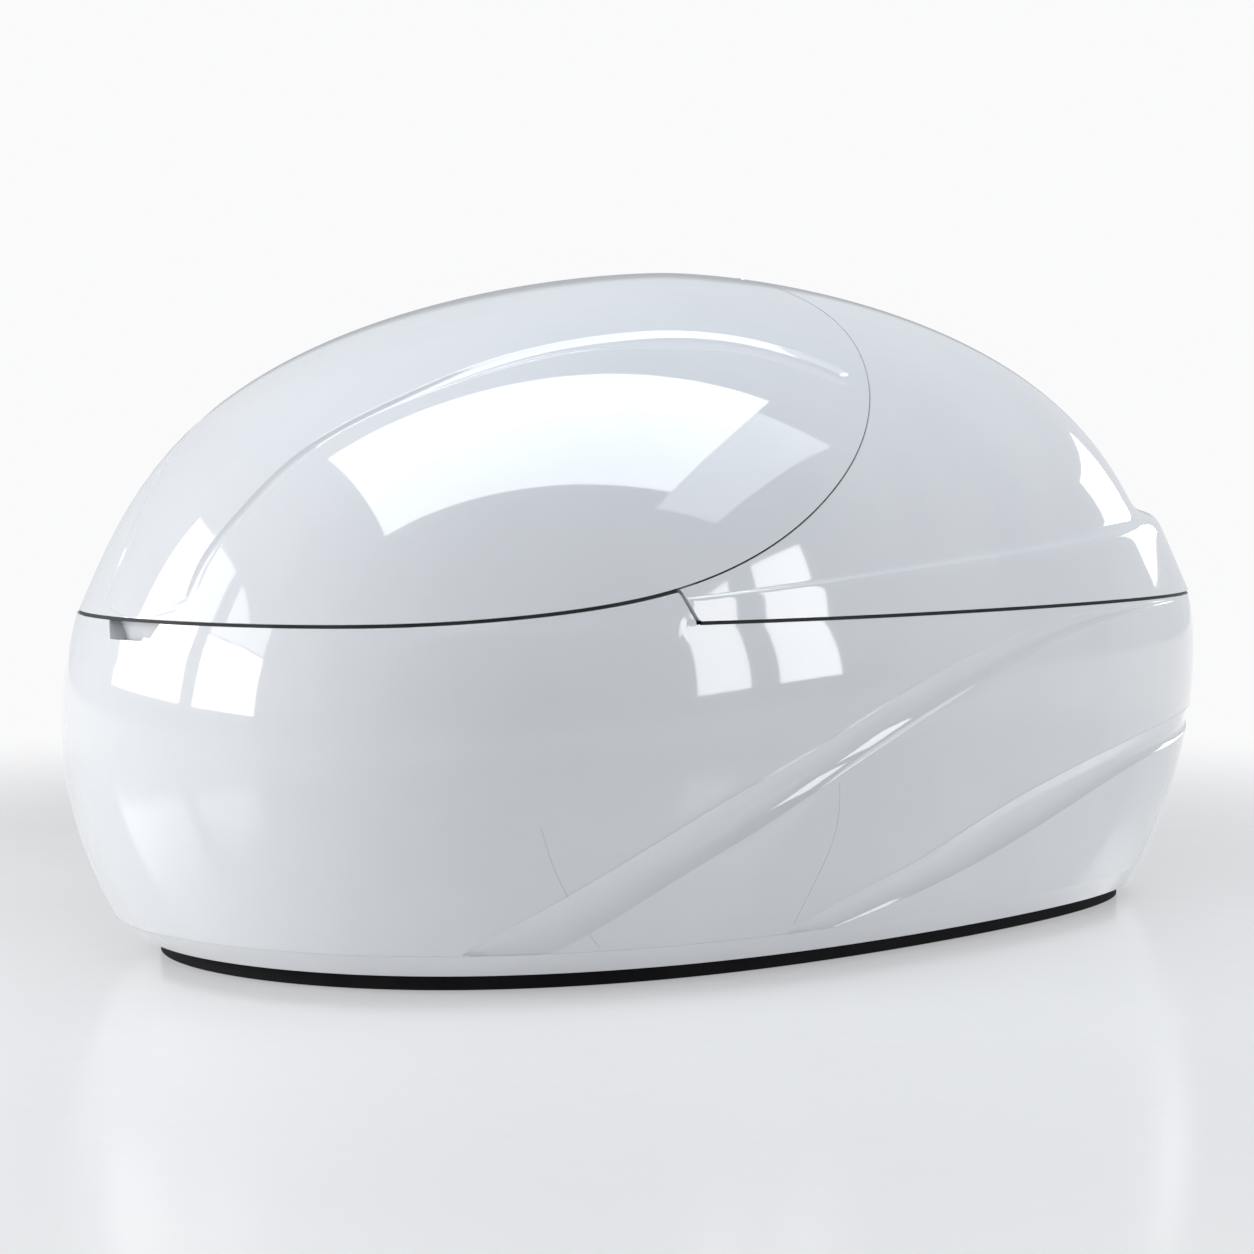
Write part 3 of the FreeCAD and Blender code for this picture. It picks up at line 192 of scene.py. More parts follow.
def movedSideways(line, distance):
    tangent = np.gradient(line, axis=0)
    tangent /= np.linalg.norm(tangent, axis=1, keepdims=True)
    return line + np.stack([-tangent[:, 1], tangent[:, 0]], 1) * distance


def softStep(t):
    t = np.clip(t, 0, 1)
    return t * t * (3 - 2 * t)


def stretches(*parts):
    # runs of even steps, one after another
    return np.concatenate([np.linspace(*part) for part in parts])


def alongLine(x, points):
    # second coordinate of a broken line where its first is x
    return np.interp(x, [p[0] for p in points], [p[1] for p in points])


# joints between the mouldings, in x and z
joint = {
    "seam": [(-1380, 672), (-1090, 675), (-840, 694), (-589, 734), (-360, 811), (-183, 907),
             (-30, 1026), (68, 1141), (114, 1225), (124, 1275), (117, 1320), (112, 1360)],
    "lidGap": 3.5, "sealGap": 7.0,
    "notchTop": -586.0, "notchFoot": -560.0, "notchCorner": 7.0,
    "ledge": [(-640, 711), (-566, 717), (54, 761), (648, 797), (850, 814), (1030, 832), (1340, 860)],
    "ledgeLift": [(-590, 1.0), (-300, 3.0), (200, 8.0), (800, 14.0), (1100, 18.0)],
    "collarProud": 2.5,
}
seam = splineThrough(joint["seam"])
lidEdge = movedSideways(seam, joint["lidGap"] / 2)
canopyEdge = movedSideways(seam, -joint["lidGap"] / 2)
baseEdge = movedSideways(seam, -joint["lidGap"] / 2 - joint["sealGap"] / 2)


def cornerEased(heightAt, x):
    # a line of heights whose corners are eased over the notch's corner
    return sum(heightAt(x + k * joint["notchCorner"] * 0.6) / 9 for k in np.linspace(-1, 1, 9))


# meshes from grids of points
meshing = {"weld": 2e-5, "degenerate": 1e-6, "sharpAngle": 35.0, "bandRows": 9, "bandBlur": 0.03}


def linked(name, data):
    obj = bpy.data.objects.new(name, data)
    bpy.context.scene.collection.objects.link(obj)
    return obj


def selectOnly(obj):
    bpy.ops.object.select_all(action="DESELECT")
    obj.select_set(True)
    bpy.context.view_layer.objects.active = obj


def applyModifiers(obj):
    selectOnly(obj)
    for mod in list(obj.modifiers):
        bpy.ops.object.modifier_apply(modifier=mod.name)


def meshOf(name, verts, faces, *steps):
    # an object from points in millimetres, after the given bmesh steps
    mesh = bpy.data.meshes.new(name)
    mesh.from_pydata((np.asarray(verts) / 1000).tolist(), [], faces)
    bm = bmesh.new()
    bm.from_mesh(mesh)
    for step in steps:
        step(bm)
    bm.to_mesh(mesh)
    bm.free()
    return linked(name, mesh)


def finished(name, verts, faces, edge, cuts):
    # welded, its edges rounded by edge millimetres, then cut and smoothed
    obj = meshOf(name, verts, faces,
                 lambda bm: bmesh.ops.remove_doubles(bm, verts=bm.verts, dist=meshing["weld"]),
                 lambda bm: bmesh.ops.dissolve_degenerate(bm, edges=bm.edges, dist=meshing["degenerate"]))
    mod = obj.modifiers.new("edge", "BEVEL")
    mod.width, mod.segments = edge[0] / 1000, 3
    mod.limit_method, mod.angle_limit = "ANGLE", math.radians(edge[1])
    mod.face_strength_mode = "FSTR_AFFECTED"
    cutter = joined(cuts)
    mod = obj.modifiers.new("cut", "BOOLEAN")
    mod.operation, mod.solver, mod.object = "DIFFERENCE", "EXACT", cutter
    applyModifiers(obj)
    bpy.data.objects.remove(cutter)
    selectOnly(obj)
    bpy.ops.object.shade_smooth_by_angle(angle=math.radians(meshing["sharpAngle"]))
    mod = obj.modifiers.new("shade", "WEIGHTED_NORMAL")
    mod.mode, mod.keep_sharp, mod.use_face_influence = "CORNER_ANGLE", True, True
    applyModifiers(obj)
    return obj


def joined(cuts):
    # the cutting bodies as one object; each is called to make its own
    made = []
    for cut in cuts:
        bpy.ops.object.select_all(action="DESELECT")
        made.append(cut())
    for obj in made:
        obj.select_set(True)
    bpy.context.view_layer.objects.active = made[0]
    if len(made) > 1:
        bpy.ops.object.join()
    return made[0]


def blockCut(x, y, z):
    def make():
        low, high = np.array([x, y, z]).T / 1000
        bpy.ops.mesh.primitive_cube_add(size=1, location=(low + high) / 2, scale=high - low)
        bpy.ops.object.transform_apply(location=True, rotation=False, scale=True)
        return bpy.context.active_object
    return make


def drillCut(centre, direction, radius, length, sides=64):
    def make():
        turn = Vector(direction).to_track_quat("Z", "Y").to_euler()
        bpy.ops.mesh.primitive_cylinder_add(vertices=sides, radius=radius / 1000, depth=length / 1000,
                                            location=Vector(centre) / 1000, rotation=turn)
        bpy.ops.object.transform_apply(location=True, rotation=True, scale=True)
        return bpy.context.active_object
    return make


def bladeCut(line, side, width, depth):
    # a thin blade along a line in x and z, standing in the base's surface by its depth
    def make():
        path = splineThrough(line, 60)
        verts = []
        for edge in (movedSideways(path, width / 2), movedSideways(path, -width / 2)):
            half = halfWidthAt(eggRing, edge[:, 0], edge[:, 1])
            for y in (half - depth, half + 6):
                verts.append(np.stack([edge[:, 0], side * y, edge[:, 1]], 1))
        n = len(path)
        loops = (0, 1, 3, 2)
        faces = []
        for i in range(n - 1):
            for a, b in zip(loops, loops[1:] + loops[:1]):
                faces.append((a * n + i, b * n + i, b * n + i + 1, a * n + i + 1))
        faces += [tuple(k * n for k in loops[::-1]), tuple(k * n + n - 1 for k in loops)]
        return meshOf("blade", np.concatenate(verts), faces,
                      lambda bm: bmesh.ops.recalc_face_normals(bm, faces=bm.faces))
    return make


def shellBetween(name, outer, inner, edge, cuts, closedRing=False, keep=None):
    # closed wall between two grids with the same rows and columns; keep says which cells exist
    rows, cols = outer.shape[:2]
    count = rows * cols
    faces = []
    border = {}
    for i in range(rows - 1):
        for j in range(cols if closedRing else cols - 1):
            if keep is not None and not keep[i, j]:
                continue
            k = (j + 1) % cols
            a, b, c, d = i * cols + j, i * cols + k, (i + 1) * cols + k, (i + 1) * cols + j
            faces.append((a, b, c, d))
            faces.append((d + count, c + count, b + count, a + count))
            for u, v in ((a, b), (b, c), (c, d), (d, a)):
                if border.pop((v, u), None) is None:
                    border[(u, v)] = True
    faces += [(v, u, u + count, v + count) for u, v in border]
    verts = np.concatenate([outer.reshape(-1, 3), inner.reshape(-1, 3)])
    return finished(name, verts, faces, edge, cuts)


def bothSides(near):
    # columns of the near side, then the mirrored ones back to the start
    return np.concatenate([near, near[:, -2:0:-1] * [1, -1, 1]], 1)


def spread(count, ends=1.0):
    # values from 0 to 1, closer together at both ends
    t = np.linspace(0, 1, count)
    return t * (1 - ends) + (1 - np.cos(np.pi * t)) / 2 * ends


def between(a, b, count):
    # rows between two others, without them
    return [a + (b - a) * f for f in np.linspace(0, 1, count + 2)[1:-1]]


# sunk bands: a hollow between a lower and an upper edge, with a rounded bead over the upper one
def bandDepth(t):
    # share of the depth across the band, its two edges slightly eased
    total = 0
    for k in (-1, -0.5, 0, 0.5, 1):
        u = t + k * meshing["bandBlur"]
        total = total + np.where((u > 0) & (u < 1), 4 * u * (1 - u), 0)
    return total / 5


def edgeEase(lower, upper):
    return np.minimum(1.6, (upper - lower) * 0.1)


def acrossBand(lower, upper, beadRows):
    # rows over a band, with a close pair at each edge and those of the bead
    ease = edgeEase(lower, upper)
    middle = [lower + ease + (upper - lower - 2 * ease) * f for f in np.linspace(0, 1, meshing["bandRows"])]
    bead = [upper + ease * (1 + 2.5 * k / beadRows) for k in range(1, beadRows + 1)]
    return [lower - ease, lower] + middle + [upper, upper + ease * 0.5, upper + ease] + bead


def beadOver(z, lower, upper):
    d = (z - upper) / np.maximum(edgeEase(lower, upper), 0.05)
    return np.cos(np.clip((d - 1.5) / 2.0, -1, 1) * np.pi / 2) ** 2

# the white base; a band's points are its upper edge, its lower edge and its depth
base = {
    "columns": 215, "bead": 0.10, "sideLean": 0.8, "tailLean": 0.7,
    "sideBand": [((-940, 84), (-790, 78), 5.0), ((-830, 162), (-720, 124), 11.0),
                 ((-678, 258), (-586, 209), 13.0), ((-500, 352), (-430, 289), 14.0),
                 ((-301, 435), (-250, 377), 13.5), ((-60, 530), (0, 480), 12.5),
                 ((223, 607), (280, 567), 10.5), ((560, 653), (598, 633), 7.0),
                 ((900, 662), (905, 657), 2.0), ((1040, 664), (1040, 662), 0.0)],
    "tailBand": [((-290, 79), (-180, 74), 3.5), ((-149, 137), (-60, 100), 8.5),
                 ((32, 194), (120, 141), 12.5), ((230, 267), (310, 194), 14.0),
                 ((462, 329), (540, 264), 13.5), ((699, 373), (760, 320), 12.0),
                 ((950, 405), (985, 352), 10.0), ((1130, 422), (1145, 372), 8.5)],
    "tailBandEnd": (434.0, 390.0, 8.0),
    "hatchSide": 302.0, "hatchHeights": (105.0, 325.0), "hatchGap": 2.0,
    "hairlines": [[(-867, 317), (-831, 237), (-796, 184), (-736, 110), (-708, 83)],
                  [(-243, 366), (-234, 275), (-258, 180), (-282, 96)]],
    "hairline": (1.1, 1.2),
    "screwSides": (-270.0, -90.0, 90.0, 270.0), "screwHeights": (116.0, 314.0), "screwRadius": 6.5,
    "inlet": ((1190.0, 1400.0), (-195.0, -125.0), (185.0, 245.0)),
    "gripTop": 95.0, "gripFoot": 69.0, "gripBottom": 632.0, "gripFloor": -1263.0, "gripTopHeight": 667.0,
    "backWall": 5.0, "flange": 8.0, "flangeInset": 62.0,
    "notchColumns": (-606, -548, 24), "noseColumns": ((0, 62, 8), (66, 72, 3), (82, 250, 14)),
    "tailColumns": ((0, 290, 20), (302, 302, 1), (316, 400, 5)),
}


def edgeOverStations(points, tail=None):
    # station and height of each given point of an edge, as a smooth line
    pairs = [(float(stationOf(baseRing(z), x)), z) for x, z in points]
    if tail is not None:
        pairs += [(0.985, tail), (1.0, tail)]
    return splineThrough(np.array(pairs) * [1000, 1]) / [1000, 1]


def baseTop(x):
    # height of the base's upper edge
    back = joint["sealGap"] / 2
    rim = case["rimHeight"] - back
    top, foot = joint["notchTop"] - back, joint["notchFoot"] - back
    cut = np.interp(top, *baseEdge.T)

    def heightAt(u):
        slope = cut + (rim - cut) * (u - top) / (foot - top)
        return np.where(u < top, np.interp(u, *baseEdge.T), np.where(u < foot, slope, rim))
    return np.minimum(cornerEased(heightAt, x), np.maximum(np.interp(x, *baseEdge.T), rim))


def heightOver(line, stations, before, floor):
    z = np.interp(stations, line[:, 0], line[:, 1])
    return np.maximum(np.where(stations < line[0, 0], before, z), floor)


def withoutStretch(stations, low, high):
    return stations[(stations < low) | (stations > high)]


def baseStations():
    noseY, tailY = stretches(*base["noseColumns"]), stretches(*base["tailColumns"])
    nose = stationFromWidth(baseRing(650.0), noseY, -np.ones(len(noseY)))
    tail = stationFromWidth(baseRing(215.0), tailY, np.ones(len(tailY)))
    notch = stationOf(baseRing(700.0), np.linspace(*base["notchColumns"]))
    middle = -np.cos(np.pi * np.linspace(0, 1, base["columns"]))
    middle = middle[(middle > nose[-1] + 0.006) & (middle < tail[-1] - 0.004)]
    middle = np.sort(np.concatenate([withoutStretch(middle, notch[0] - 0.003, notch[-1] + 0.003), notch]))
    return noseY, tailY, np.concatenate([nose, middle, tail[::-1]])


def bandStations(points):
    return [float(stationOf(baseRing((u[1] + l[1]) / 2), (u[0] + l[0]) / 2)) for u, l, d in points]


def baseGrid():
    b = base
    noseY, tailY, stations = baseStations()
    sideTop, sideFoot = [edgeOverStations([p[k] for p in b["sideBand"]]) for k in (0, 1)]
    tailTop, tailFoot = [edgeOverStations([p[k] for p in b["tailBand"]], b["tailBandEnd"][k]) for k in (0, 1)]
    foot = case["chamferTop"]
    top = np.full(len(stations), 668.0)
    for _ in range(8):
        top = baseTop(planPoint(eggRing(top), stations)[0])
    tailLow = heightOver(tailFoot, stations, foot, foot + 1)
    tailHigh = heightOver(tailTop, stations, foot, tailLow + 1)
    sideLow = heightOver(sideFoot, stations, foot, tailHigh + 1)
    sideHigh = heightOver(sideTop, stations, foot, sideLow + 1)
    sideHigh = np.minimum(np.where(stations > sideTop[-1, 0], 664.0, sideHigh), top - 4.5)
    sideLow = np.minimum(np.where(stations > sideFoot[-1, 0], sideHigh - 2, sideLow), sideHigh - 1)
    # breaks for the hatch and for the finger recess
    low = foot + np.minimum(b["hatchHeights"][0] - b["hatchGap"] - foot, 0.12 * (tailLow - foot))
    high = foot + np.minimum(b["hatchHeights"][1] + b["hatchGap"] - foot, 0.9 * (tailLow - foot))
    xs = planPoint(baseRing(600.0), stations)[0]
    share = (b["gripBottom"] - sideHigh) / (top - sideHigh)
    share = share + (0.93 - share) * softStep((xs + 1000) / 120)
    grip = sideHigh + (top - sideHigh) * share
    full = np.zeros(len(stations))
    skirt = full + case["skirtBottom"]
    rows = [skirt] + between(skirt, full + foot - 2.5, 3)
    rows += [full + foot - 2.5, full + foot - 1.0, full + foot, full + foot + 0.5]
    hatchRows = [len(rows)]
    rows += [low] + between(low, high, 9) + [high]
    hatchRows.append(len(rows) - 1)
    band = acrossBand(tailLow, tailHigh, 5)
    rows += between(high, band[0], 2) + band
    upper = acrossBand(sideLow, sideHigh, 5)
    rows += between(band[-1], upper[0], 12) + upper
    rows += between(upper[-1], grip, 17)
    gripRow = len(rows)
    rows += [grip, grip] + between(grip, top, 3) + [top]
    z = np.array(rows)
    x, y = planPoint(eggRing(z), np.broadcast_to(stations, z.shape))

    def settle(columns, wanted, way):
        # slide the points of some columns round their rings to the wanted half widths
        ring = tuple(q[:, columns] if np.ndim(q) == 2 else q for q in eggRing(z))
        s = stationFromWidth(ring, wanted, way * np.ones_like(wanted))
        x[:, columns], y[:, columns] = planPoint(ring, s)
    # the recess's slanted ends and the hatch's upright ones lie along columns
    nose, tail = slice(None, len(noseY)), slice(-len(tailY), None)
    zn, zt, yt = z[:, nose], z[:, tail], tailY[::-1]
    rise = (zn - b["gripBottom"]) / (b["gripTopHeight"] - b["gripBottom"])
    ends = b["gripFoot"] + (b["gripTop"] - b["gripFoot"]) * rise
    weight = softStep((zn - 560) / 60) * (1 - softStep((noseY - 90) / 150))
    settle(nose, y[:, nose] * (1 + (ends / b["gripFoot"] - 1) * weight), -1)
    weight = softStep((zt - 78) / 24) * (1 - softStep((zt - 330) / 60)) * (1 - softStep((yt - 310) / 85))
    settle(tail, y[:, tail] + (yt - y[:, tail]) * weight, 1)
    points = np.stack([x, -y, z], -1)
    normals = outwards(eggRing, points)
    sink, plain = 0, 0
    bands = ((b["sideBand"], [], sideLow, sideHigh, b["sideLean"]),
             (b["tailBand"], [b["tailBandEnd"][2]], tailLow, tailHigh, b["tailLean"]))
    for line, end, low, up, lean in bands:
        depth = np.interp(stations, bandStations(line) + [1.0] * len(end), [p[2] for p in line] + end)
        depth = depth * softStep((up - low - 1.5) / 6)
        t = (z - low) / np.maximum(up - low, 0.5)
        skewed = np.where((t > 0) & (t < 1), np.clip(t, 0, 1) ** lean, t)
        sink = sink + depth * (bandDepth(skewed) - b["bead"] * beadOver(z, low, up))
        plain = plain + depth * bandDepth(t) * 0.6
    inner = points - normals * (case["baseSkin"] + plain[..., None])
    points = points - normals * sink[..., None]
    inner[..., 2] = np.maximum(inner[..., 2], case["skirtBottom"] + b["flange"])
    # the finger recess: columns up to its end are doubled, and the inside ones go back to its floor
    end = int(np.argmin(np.abs(noseY - b["gripFoot"])))
    points, inner = [np.concatenate([grid[:, :end + 1], grid[:, end:]], 1) for grid in (points, inner)]
    inner[gripRow:, end:end + 2, 1] -= b["backWall"]
    inner[gripRow:gripRow + 2, :end + 2, 2] -= b["backWall"]
    points[gripRow + 1:, :end + 1, 0] = b["gripFloor"]
    inner[gripRow + 1:, :end + 1, 0] = b["gripFloor"] + b["backWall"]

    def flange(height):
        # the rim under the skirt
        fx, fy = planPoint(baseRing(case["skirtBottom"], b["flangeInset"]), stations)
        line = np.stack([fx, -fy, np.full_like(fx, height)], -1)
        return np.concatenate([line[:end + 1], line[end:]])[None]
    points = np.concatenate([flange(case["skirtBottom"]), points])
    inner = np.concatenate([flange(case["skirtBottom"] + b["flange"]), inner])
    hatchColumn = points.shape[1] - 1 - int(np.argmin(np.abs(tailY - b["hatchSide"])))
    return points, inner, [r + 1 for r in hatchRows], hatchColumn


def makeBase():
    points, inner, (firstRow, lastRow), firstColumn = baseGrid()
    points, inner = bothSides(points), bothSides(inner)
    lastColumn = points.shape[1] - firstColumn
    keep = np.ones((points.shape[0] - 1, points.shape[1]), bool)
    keep[firstRow:lastRow, firstColumn:lastColumn] = False
    lines = [bladeCut(line, side, *base["hairline"]) for line in base["hairlines"] for side in (-1, 1)]
    shell = shellBetween("whiteBase", points, inner, (1.6, 50), lines, True, keep)
    hatch = slice(firstRow, lastRow + 1), slice(firstColumn, lastColumn + 1)
    door, doorBack = points[hatch].copy(), inner[hatch].copy()
    gap = base["hatchGap"]
    for grid in (door, doorBack):
        grid[0, :, 2] += gap
        grid[-1, :, 2] -= gap
        grid[:, 0] += (grid[:, 1] - grid[:, 0]) * min(1, gap / 12)
        grid[:, -1] += (grid[:, -2] - grid[:, -1]) * min(1, gap / 12)
    holes = [blockCut(*base["inlet"])]
    for y in base["screwSides"]:
        for z in base["screwHeights"]:
            x, _ = planPoint(baseRing(z), stationFromWidth(baseRing(z), abs(y), 1.0))
            out = outwards(eggRing, np.array([[x, y, z]]))[0]
            holes.append(drillCut(np.array([x, y, z]) + out * 6.5, out, base["screwRadius"], 20, 32))
    return shell, shellBetween("rearHatch", door, doorBack, (1.4, 50), holes)


whiteBase, rearHatch = makeBase()
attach(whiteBase, "tank"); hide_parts("base_shell"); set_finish(whiteBase, "white_gelcoat")
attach(rearHatch, "tank"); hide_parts("rear_hatch"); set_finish(rearHatch, "white_gelcoat")
print("base made", len(whiteBase.data.polygons))

# the lid; its band's points are the upper edge, the lower edge and the depth
lid = {
    "columns": 210, "samples": 500, "lean": 1.35, "deep": 1.35, "bead": 0.06,
    "band": [((-1263, 706), (-1260, 700), 1.0), ((-1226, 783), (-1214, 793), 3.5),
             ((-1165, 875), (-1146, 888), 5.0), ((-1066, 981), (-1028, 1003), 5.5),
             ((-903, 1082), (-881, 1082), 5.5), ((-714, 1157), (-700, 1142), 5.5),
             ((-513, 1199), (-542, 1171), 5.5), ((-342, 1211), (-384, 1173), 5.5),
             ((-173, 1194), (-210, 1160), 5.2), ((-50, 1159), (-85, 1125), 5.0),
             ((20, 1128), (-12, 1100), 4.5), ((70, 1100), (40, 1072), 4.5)],
    "bandEnd": ((20, 1128), (-12, 1100)), "bandStart": -1263.0, "endFade": 45.0,
    "turnX": 40.0, "closeColumns": (-40, 45, 26), "linerColumns": 120, "linerRows": 60,
    "hingeSlot": ((101, 123), (-79, 79), (1313, 1400)),
    "linerSlot": ((38, 240), (-79.5, 79.5), (1290, 1400)),
}


def topProfile(inset=0.0):
    # heights, and the dome's front and rear ends in the middle plane at each
    z = case["rimHeight"] - 10 + (domeRise - inset + 10) * np.sin(np.linspace(0, np.pi / 2, 6000))
    ring = domeRing(z, inset)
    return z, ring[0] - ring[1], ring[0] + ring[2]


def topHeight(x, inset=0.0):
    z, front, rear = topProfile(inset)
    return np.where(x < case["apexX"], np.interp(x, front, z), np.interp(x, rear[::-1], z[::-1]))


def lidSlices(count, inset=0.0):
    # foot of each slice on the lid's edge, and its top in the middle plane
    z, front, rear = topProfile(inset)
    at = np.linspace(0, 1, len(lidEdge))
    fine = np.stack([np.interp(np.linspace(0, 1, 6000), at, column) for column in lidEdge.T], 1)
    inside = (fine[:, 0] > np.interp(fine[:, 1], z, front)) & (fine[:, 0] < np.interp(fine[:, 1], z, rear))
    line = fine[inside & (fine[:, 1] < case["height"] - inset - 0.5)]
    length = np.concatenate([[0], np.cumsum(np.linalg.norm(np.diff(line, axis=0), axis=1))])
    u = spread(count, 0.85)
    if inset == 0:
        first, last, closer = lid["closeColumns"]
        ends = [length[np.argmax(line[:, 0] > x)] / length[-1] for x in (first, last)]
        u = np.sort(np.concatenate([u, np.linspace(*ends, closer)]))
    foot = np.stack([np.interp(u * length[-1], length, line[:, k]) for k in (0, 1)], 1)
    bend = length[np.argmax(line[:, 0] > lid["turnX"])]
    away = np.clip((u * length[-1] - bend) / (length[-1] - bend), 0, 1)
    topX = np.where(away > 0, lid["turnX"] + (line[-1, 0] - lid["turnX"]) * away, foot[:, 0])
    top = np.stack([topX, topHeight(topX, inset)], 1)
    top[:, 1] = np.maximum(top[:, 1], foot[:, 1])
    return foot, top


def bandMarks(foot, arc, x, z):
    # how far up each slice the band's lower and upper edges lie
    total = arc[-1]
    marks = []
    for k in (1, 0):
        edge = splineThrough([p[k] for p in lid["band"]])
        over = z - np.interp(x, edge[:, 0], edge[:, 1])
        first = np.argmax(over > 0, axis=0)
        pair = np.maximum(np.stack([first - 1, first]), 0)
        (below, above), (arc0, arc1) = np.take_along_axis(over, pair, 0), np.take_along_axis(arc, pair, 0)
        part = np.clip(-below / np.maximum(above - below, 1e-9), 0, 1)
        share = (arc0 + (arc1 - arc0) * part) / np.maximum(total, 1e-6)
        good = (foot[:, 0] > lid["bandStart"]) & (foot[:, 0] < 60) & (first > 0)
        index = np.arange(len(share))
        marks.append(np.interp(index, index[good], share[good]) * total)
    low, high = marks
    return low, np.maximum(high, low + 0.2)


def lidGrid(count, inset=0.0, rows=None):
    foot, top = lidSlices(count, inset)

    def onDome(lift):
        x = foot[:, 0] + (top[:, 0] - foot[:, 0]) * lift
        z = foot[:, 1] + (top[:, 1] - foot[:, 1]) * lift
        y = halfWidthAt(domeRing, x, z, inset)
        y[-1] = 0
        y[:, 0] = 0
        y[:, -1] = 0
        return x, y, z
    x, y, z = onDome(np.sin(np.linspace(0, np.pi / 2, lid["samples"]))[:, None])
    steps = np.sqrt(np.diff(x, axis=0) ** 2 + np.diff(y, axis=0) ** 2 + np.diff(z, axis=0) ** 2)
    arc = np.concatenate([np.zeros((1, x.shape[1])), np.cumsum(steps, 0)])
    total = arc[-1]
    if rows is None:
        low, high = bandMarks(foot, arc, x, z)
        ease = edgeEase(low, high)
        marks = [0 * low] + between(0 * low, low - ease, 13) + acrossBand(low, high, 4)
        marks += between(high + ease * 3.5, total, 30) + [total]
        marks = np.array(marks)
    else:
        marks = np.linspace(0, 1, rows)[:, None] * total
    fromFoot = np.arange(float(lid["samples"]))
    index = np.stack([np.interp(marks[:, j], arc[:, j], fromFoot) for j in range(len(total))], 1)
    x, y, z = onDome(np.sin(index / (lid["samples"] - 1) * np.pi / 2))
    points = np.stack([x, -y, z], -1)
    normals = outwards(domeRing, points, inset)
    normals[-1, :, 1] = 0
    if rows is None:
        depth = alongLine(x, [((u[0] + l[0]) / 2, d) for u, l, d in lid["band"]])
        (ux, uz), (lx, lz) = lid["bandEnd"]
        endX = ux + (z - uz) * (ux - lx) / (uz - lz)
        depth = depth * softStep((endX - x) / lid["endFade"]) * softStep((high - low - 0.5) / 8)
        t = (marks - low) / np.maximum(high - low, 0.2)
        sunk = bandDepth(np.clip(t, 0, None) ** lid["lean"]) - lid["bead"] * beadOver(marks, low, high)
        points = points - normals * (depth * lid["deep"] * sunk)[..., None]
    # rows go from the near edge over the top to the far edge
    return [np.concatenate([grid, grid[-2::-1] * [1, -1, 1]])[:, ::-1] for grid in (points, normals)]


hingeSlot = blockCut(*lid["hingeSlot"])
points, normals = lidGrid(lid["columns"])
lidShell = shellBetween("lidShell", points, points - normals * case["domeSkin"], (1.3, 50), [hingeSlot])
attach(lidShell, "lid"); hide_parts("lid_shell"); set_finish(lidShell, "white_gelcoat")
outer, inner = [lidGrid(lid["linerColumns"], inset, lid["linerRows"])[0]
                for inset in (case["domeSkin"] + 0.3, case["domeWall"])]
lidLiner = shellBetween("lidLiner", outer, inner, (3.0, 50), [blockCut(*lid["linerSlot"])])
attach(lidLiner, "lid"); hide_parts("lid_liner", "lid_foam"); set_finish(lidLiner, "liner_white")
print("lid made", len(lidShell.data.polygons), len(lidLiner.data.polygons))

# the fixed canopy with the collar round its foot
canopy = {
    "columns": 210, "wallRows": 9, "ledgeRows": 9, "domeRows": 46, "linerColumns": 110, "linerFoot": 664.3,
    "noseColumns": (-545, 20), "tipHeight": 732.0, "noseHeight": 700.0, "stepStart": 730.0,
    "notchPeak": 735.0, "easing": 5, "deckHeight": 664.0, "footInset": 20.0,
    "linerSlot": ((-20, 184.5), (-79.5, 79.5), (1290, 1400)),
}


def canopyFoot(x):
    # lower edge: flat behind, rising along the notch in front
    rim = case["rimHeight"] + joint["sealGap"] / 2
    foot = joint["notchFoot"]
    slope = (canopy["notchPeak"] - rim) / (joint["notchTop"] - foot)
    return cornerEased(lambda u: np.where(u < foot, rim + (u - foot) * slope, rim), x)


def canopyColumns(inset, count):
    tipX = joint["notchTop"] + 1.5
    tip = float(stationOf(domeRing(canopy["tipHeight"]), tipX))
    near = stationOf(domeRing(canopy["noseHeight"]), np.linspace(tipX, *canopy["noseColumns"]))
    near = near[near > tip + 1e-4]
    rest = near[-1] + (1 - near[-1]) * np.sin(np.linspace(0, 1, count) * np.pi / 2)
    return np.unique(np.concatenate([[tip], near, rest[1:]]))


def seamHeight(stations, inset=0.0):
    # where each of the dome's meridians meets the canopy's front edge
    low = np.full(len(stations), case["rimHeight"] + 5.0)
    high = np.full(len(stations), case["height"] - inset - 0.3)
    edge = canopyEdge[np.argsort(canopyEdge[:, 1])]
    for _ in range(50):
        z = (low + high) / 2
        x = planPoint(domeRing(z, inset), stations)[0]
        behind = x > np.interp(z, edge[:, 1], edge[:, 0])
        low = np.where(behind, z, low)
        high = np.where(behind, high, z)
    return low


def ringPoints(ring, stations, z):
    return np.stack(planPoint(ring, np.broadcast_to(stations, z.shape)) + (z,), -1)


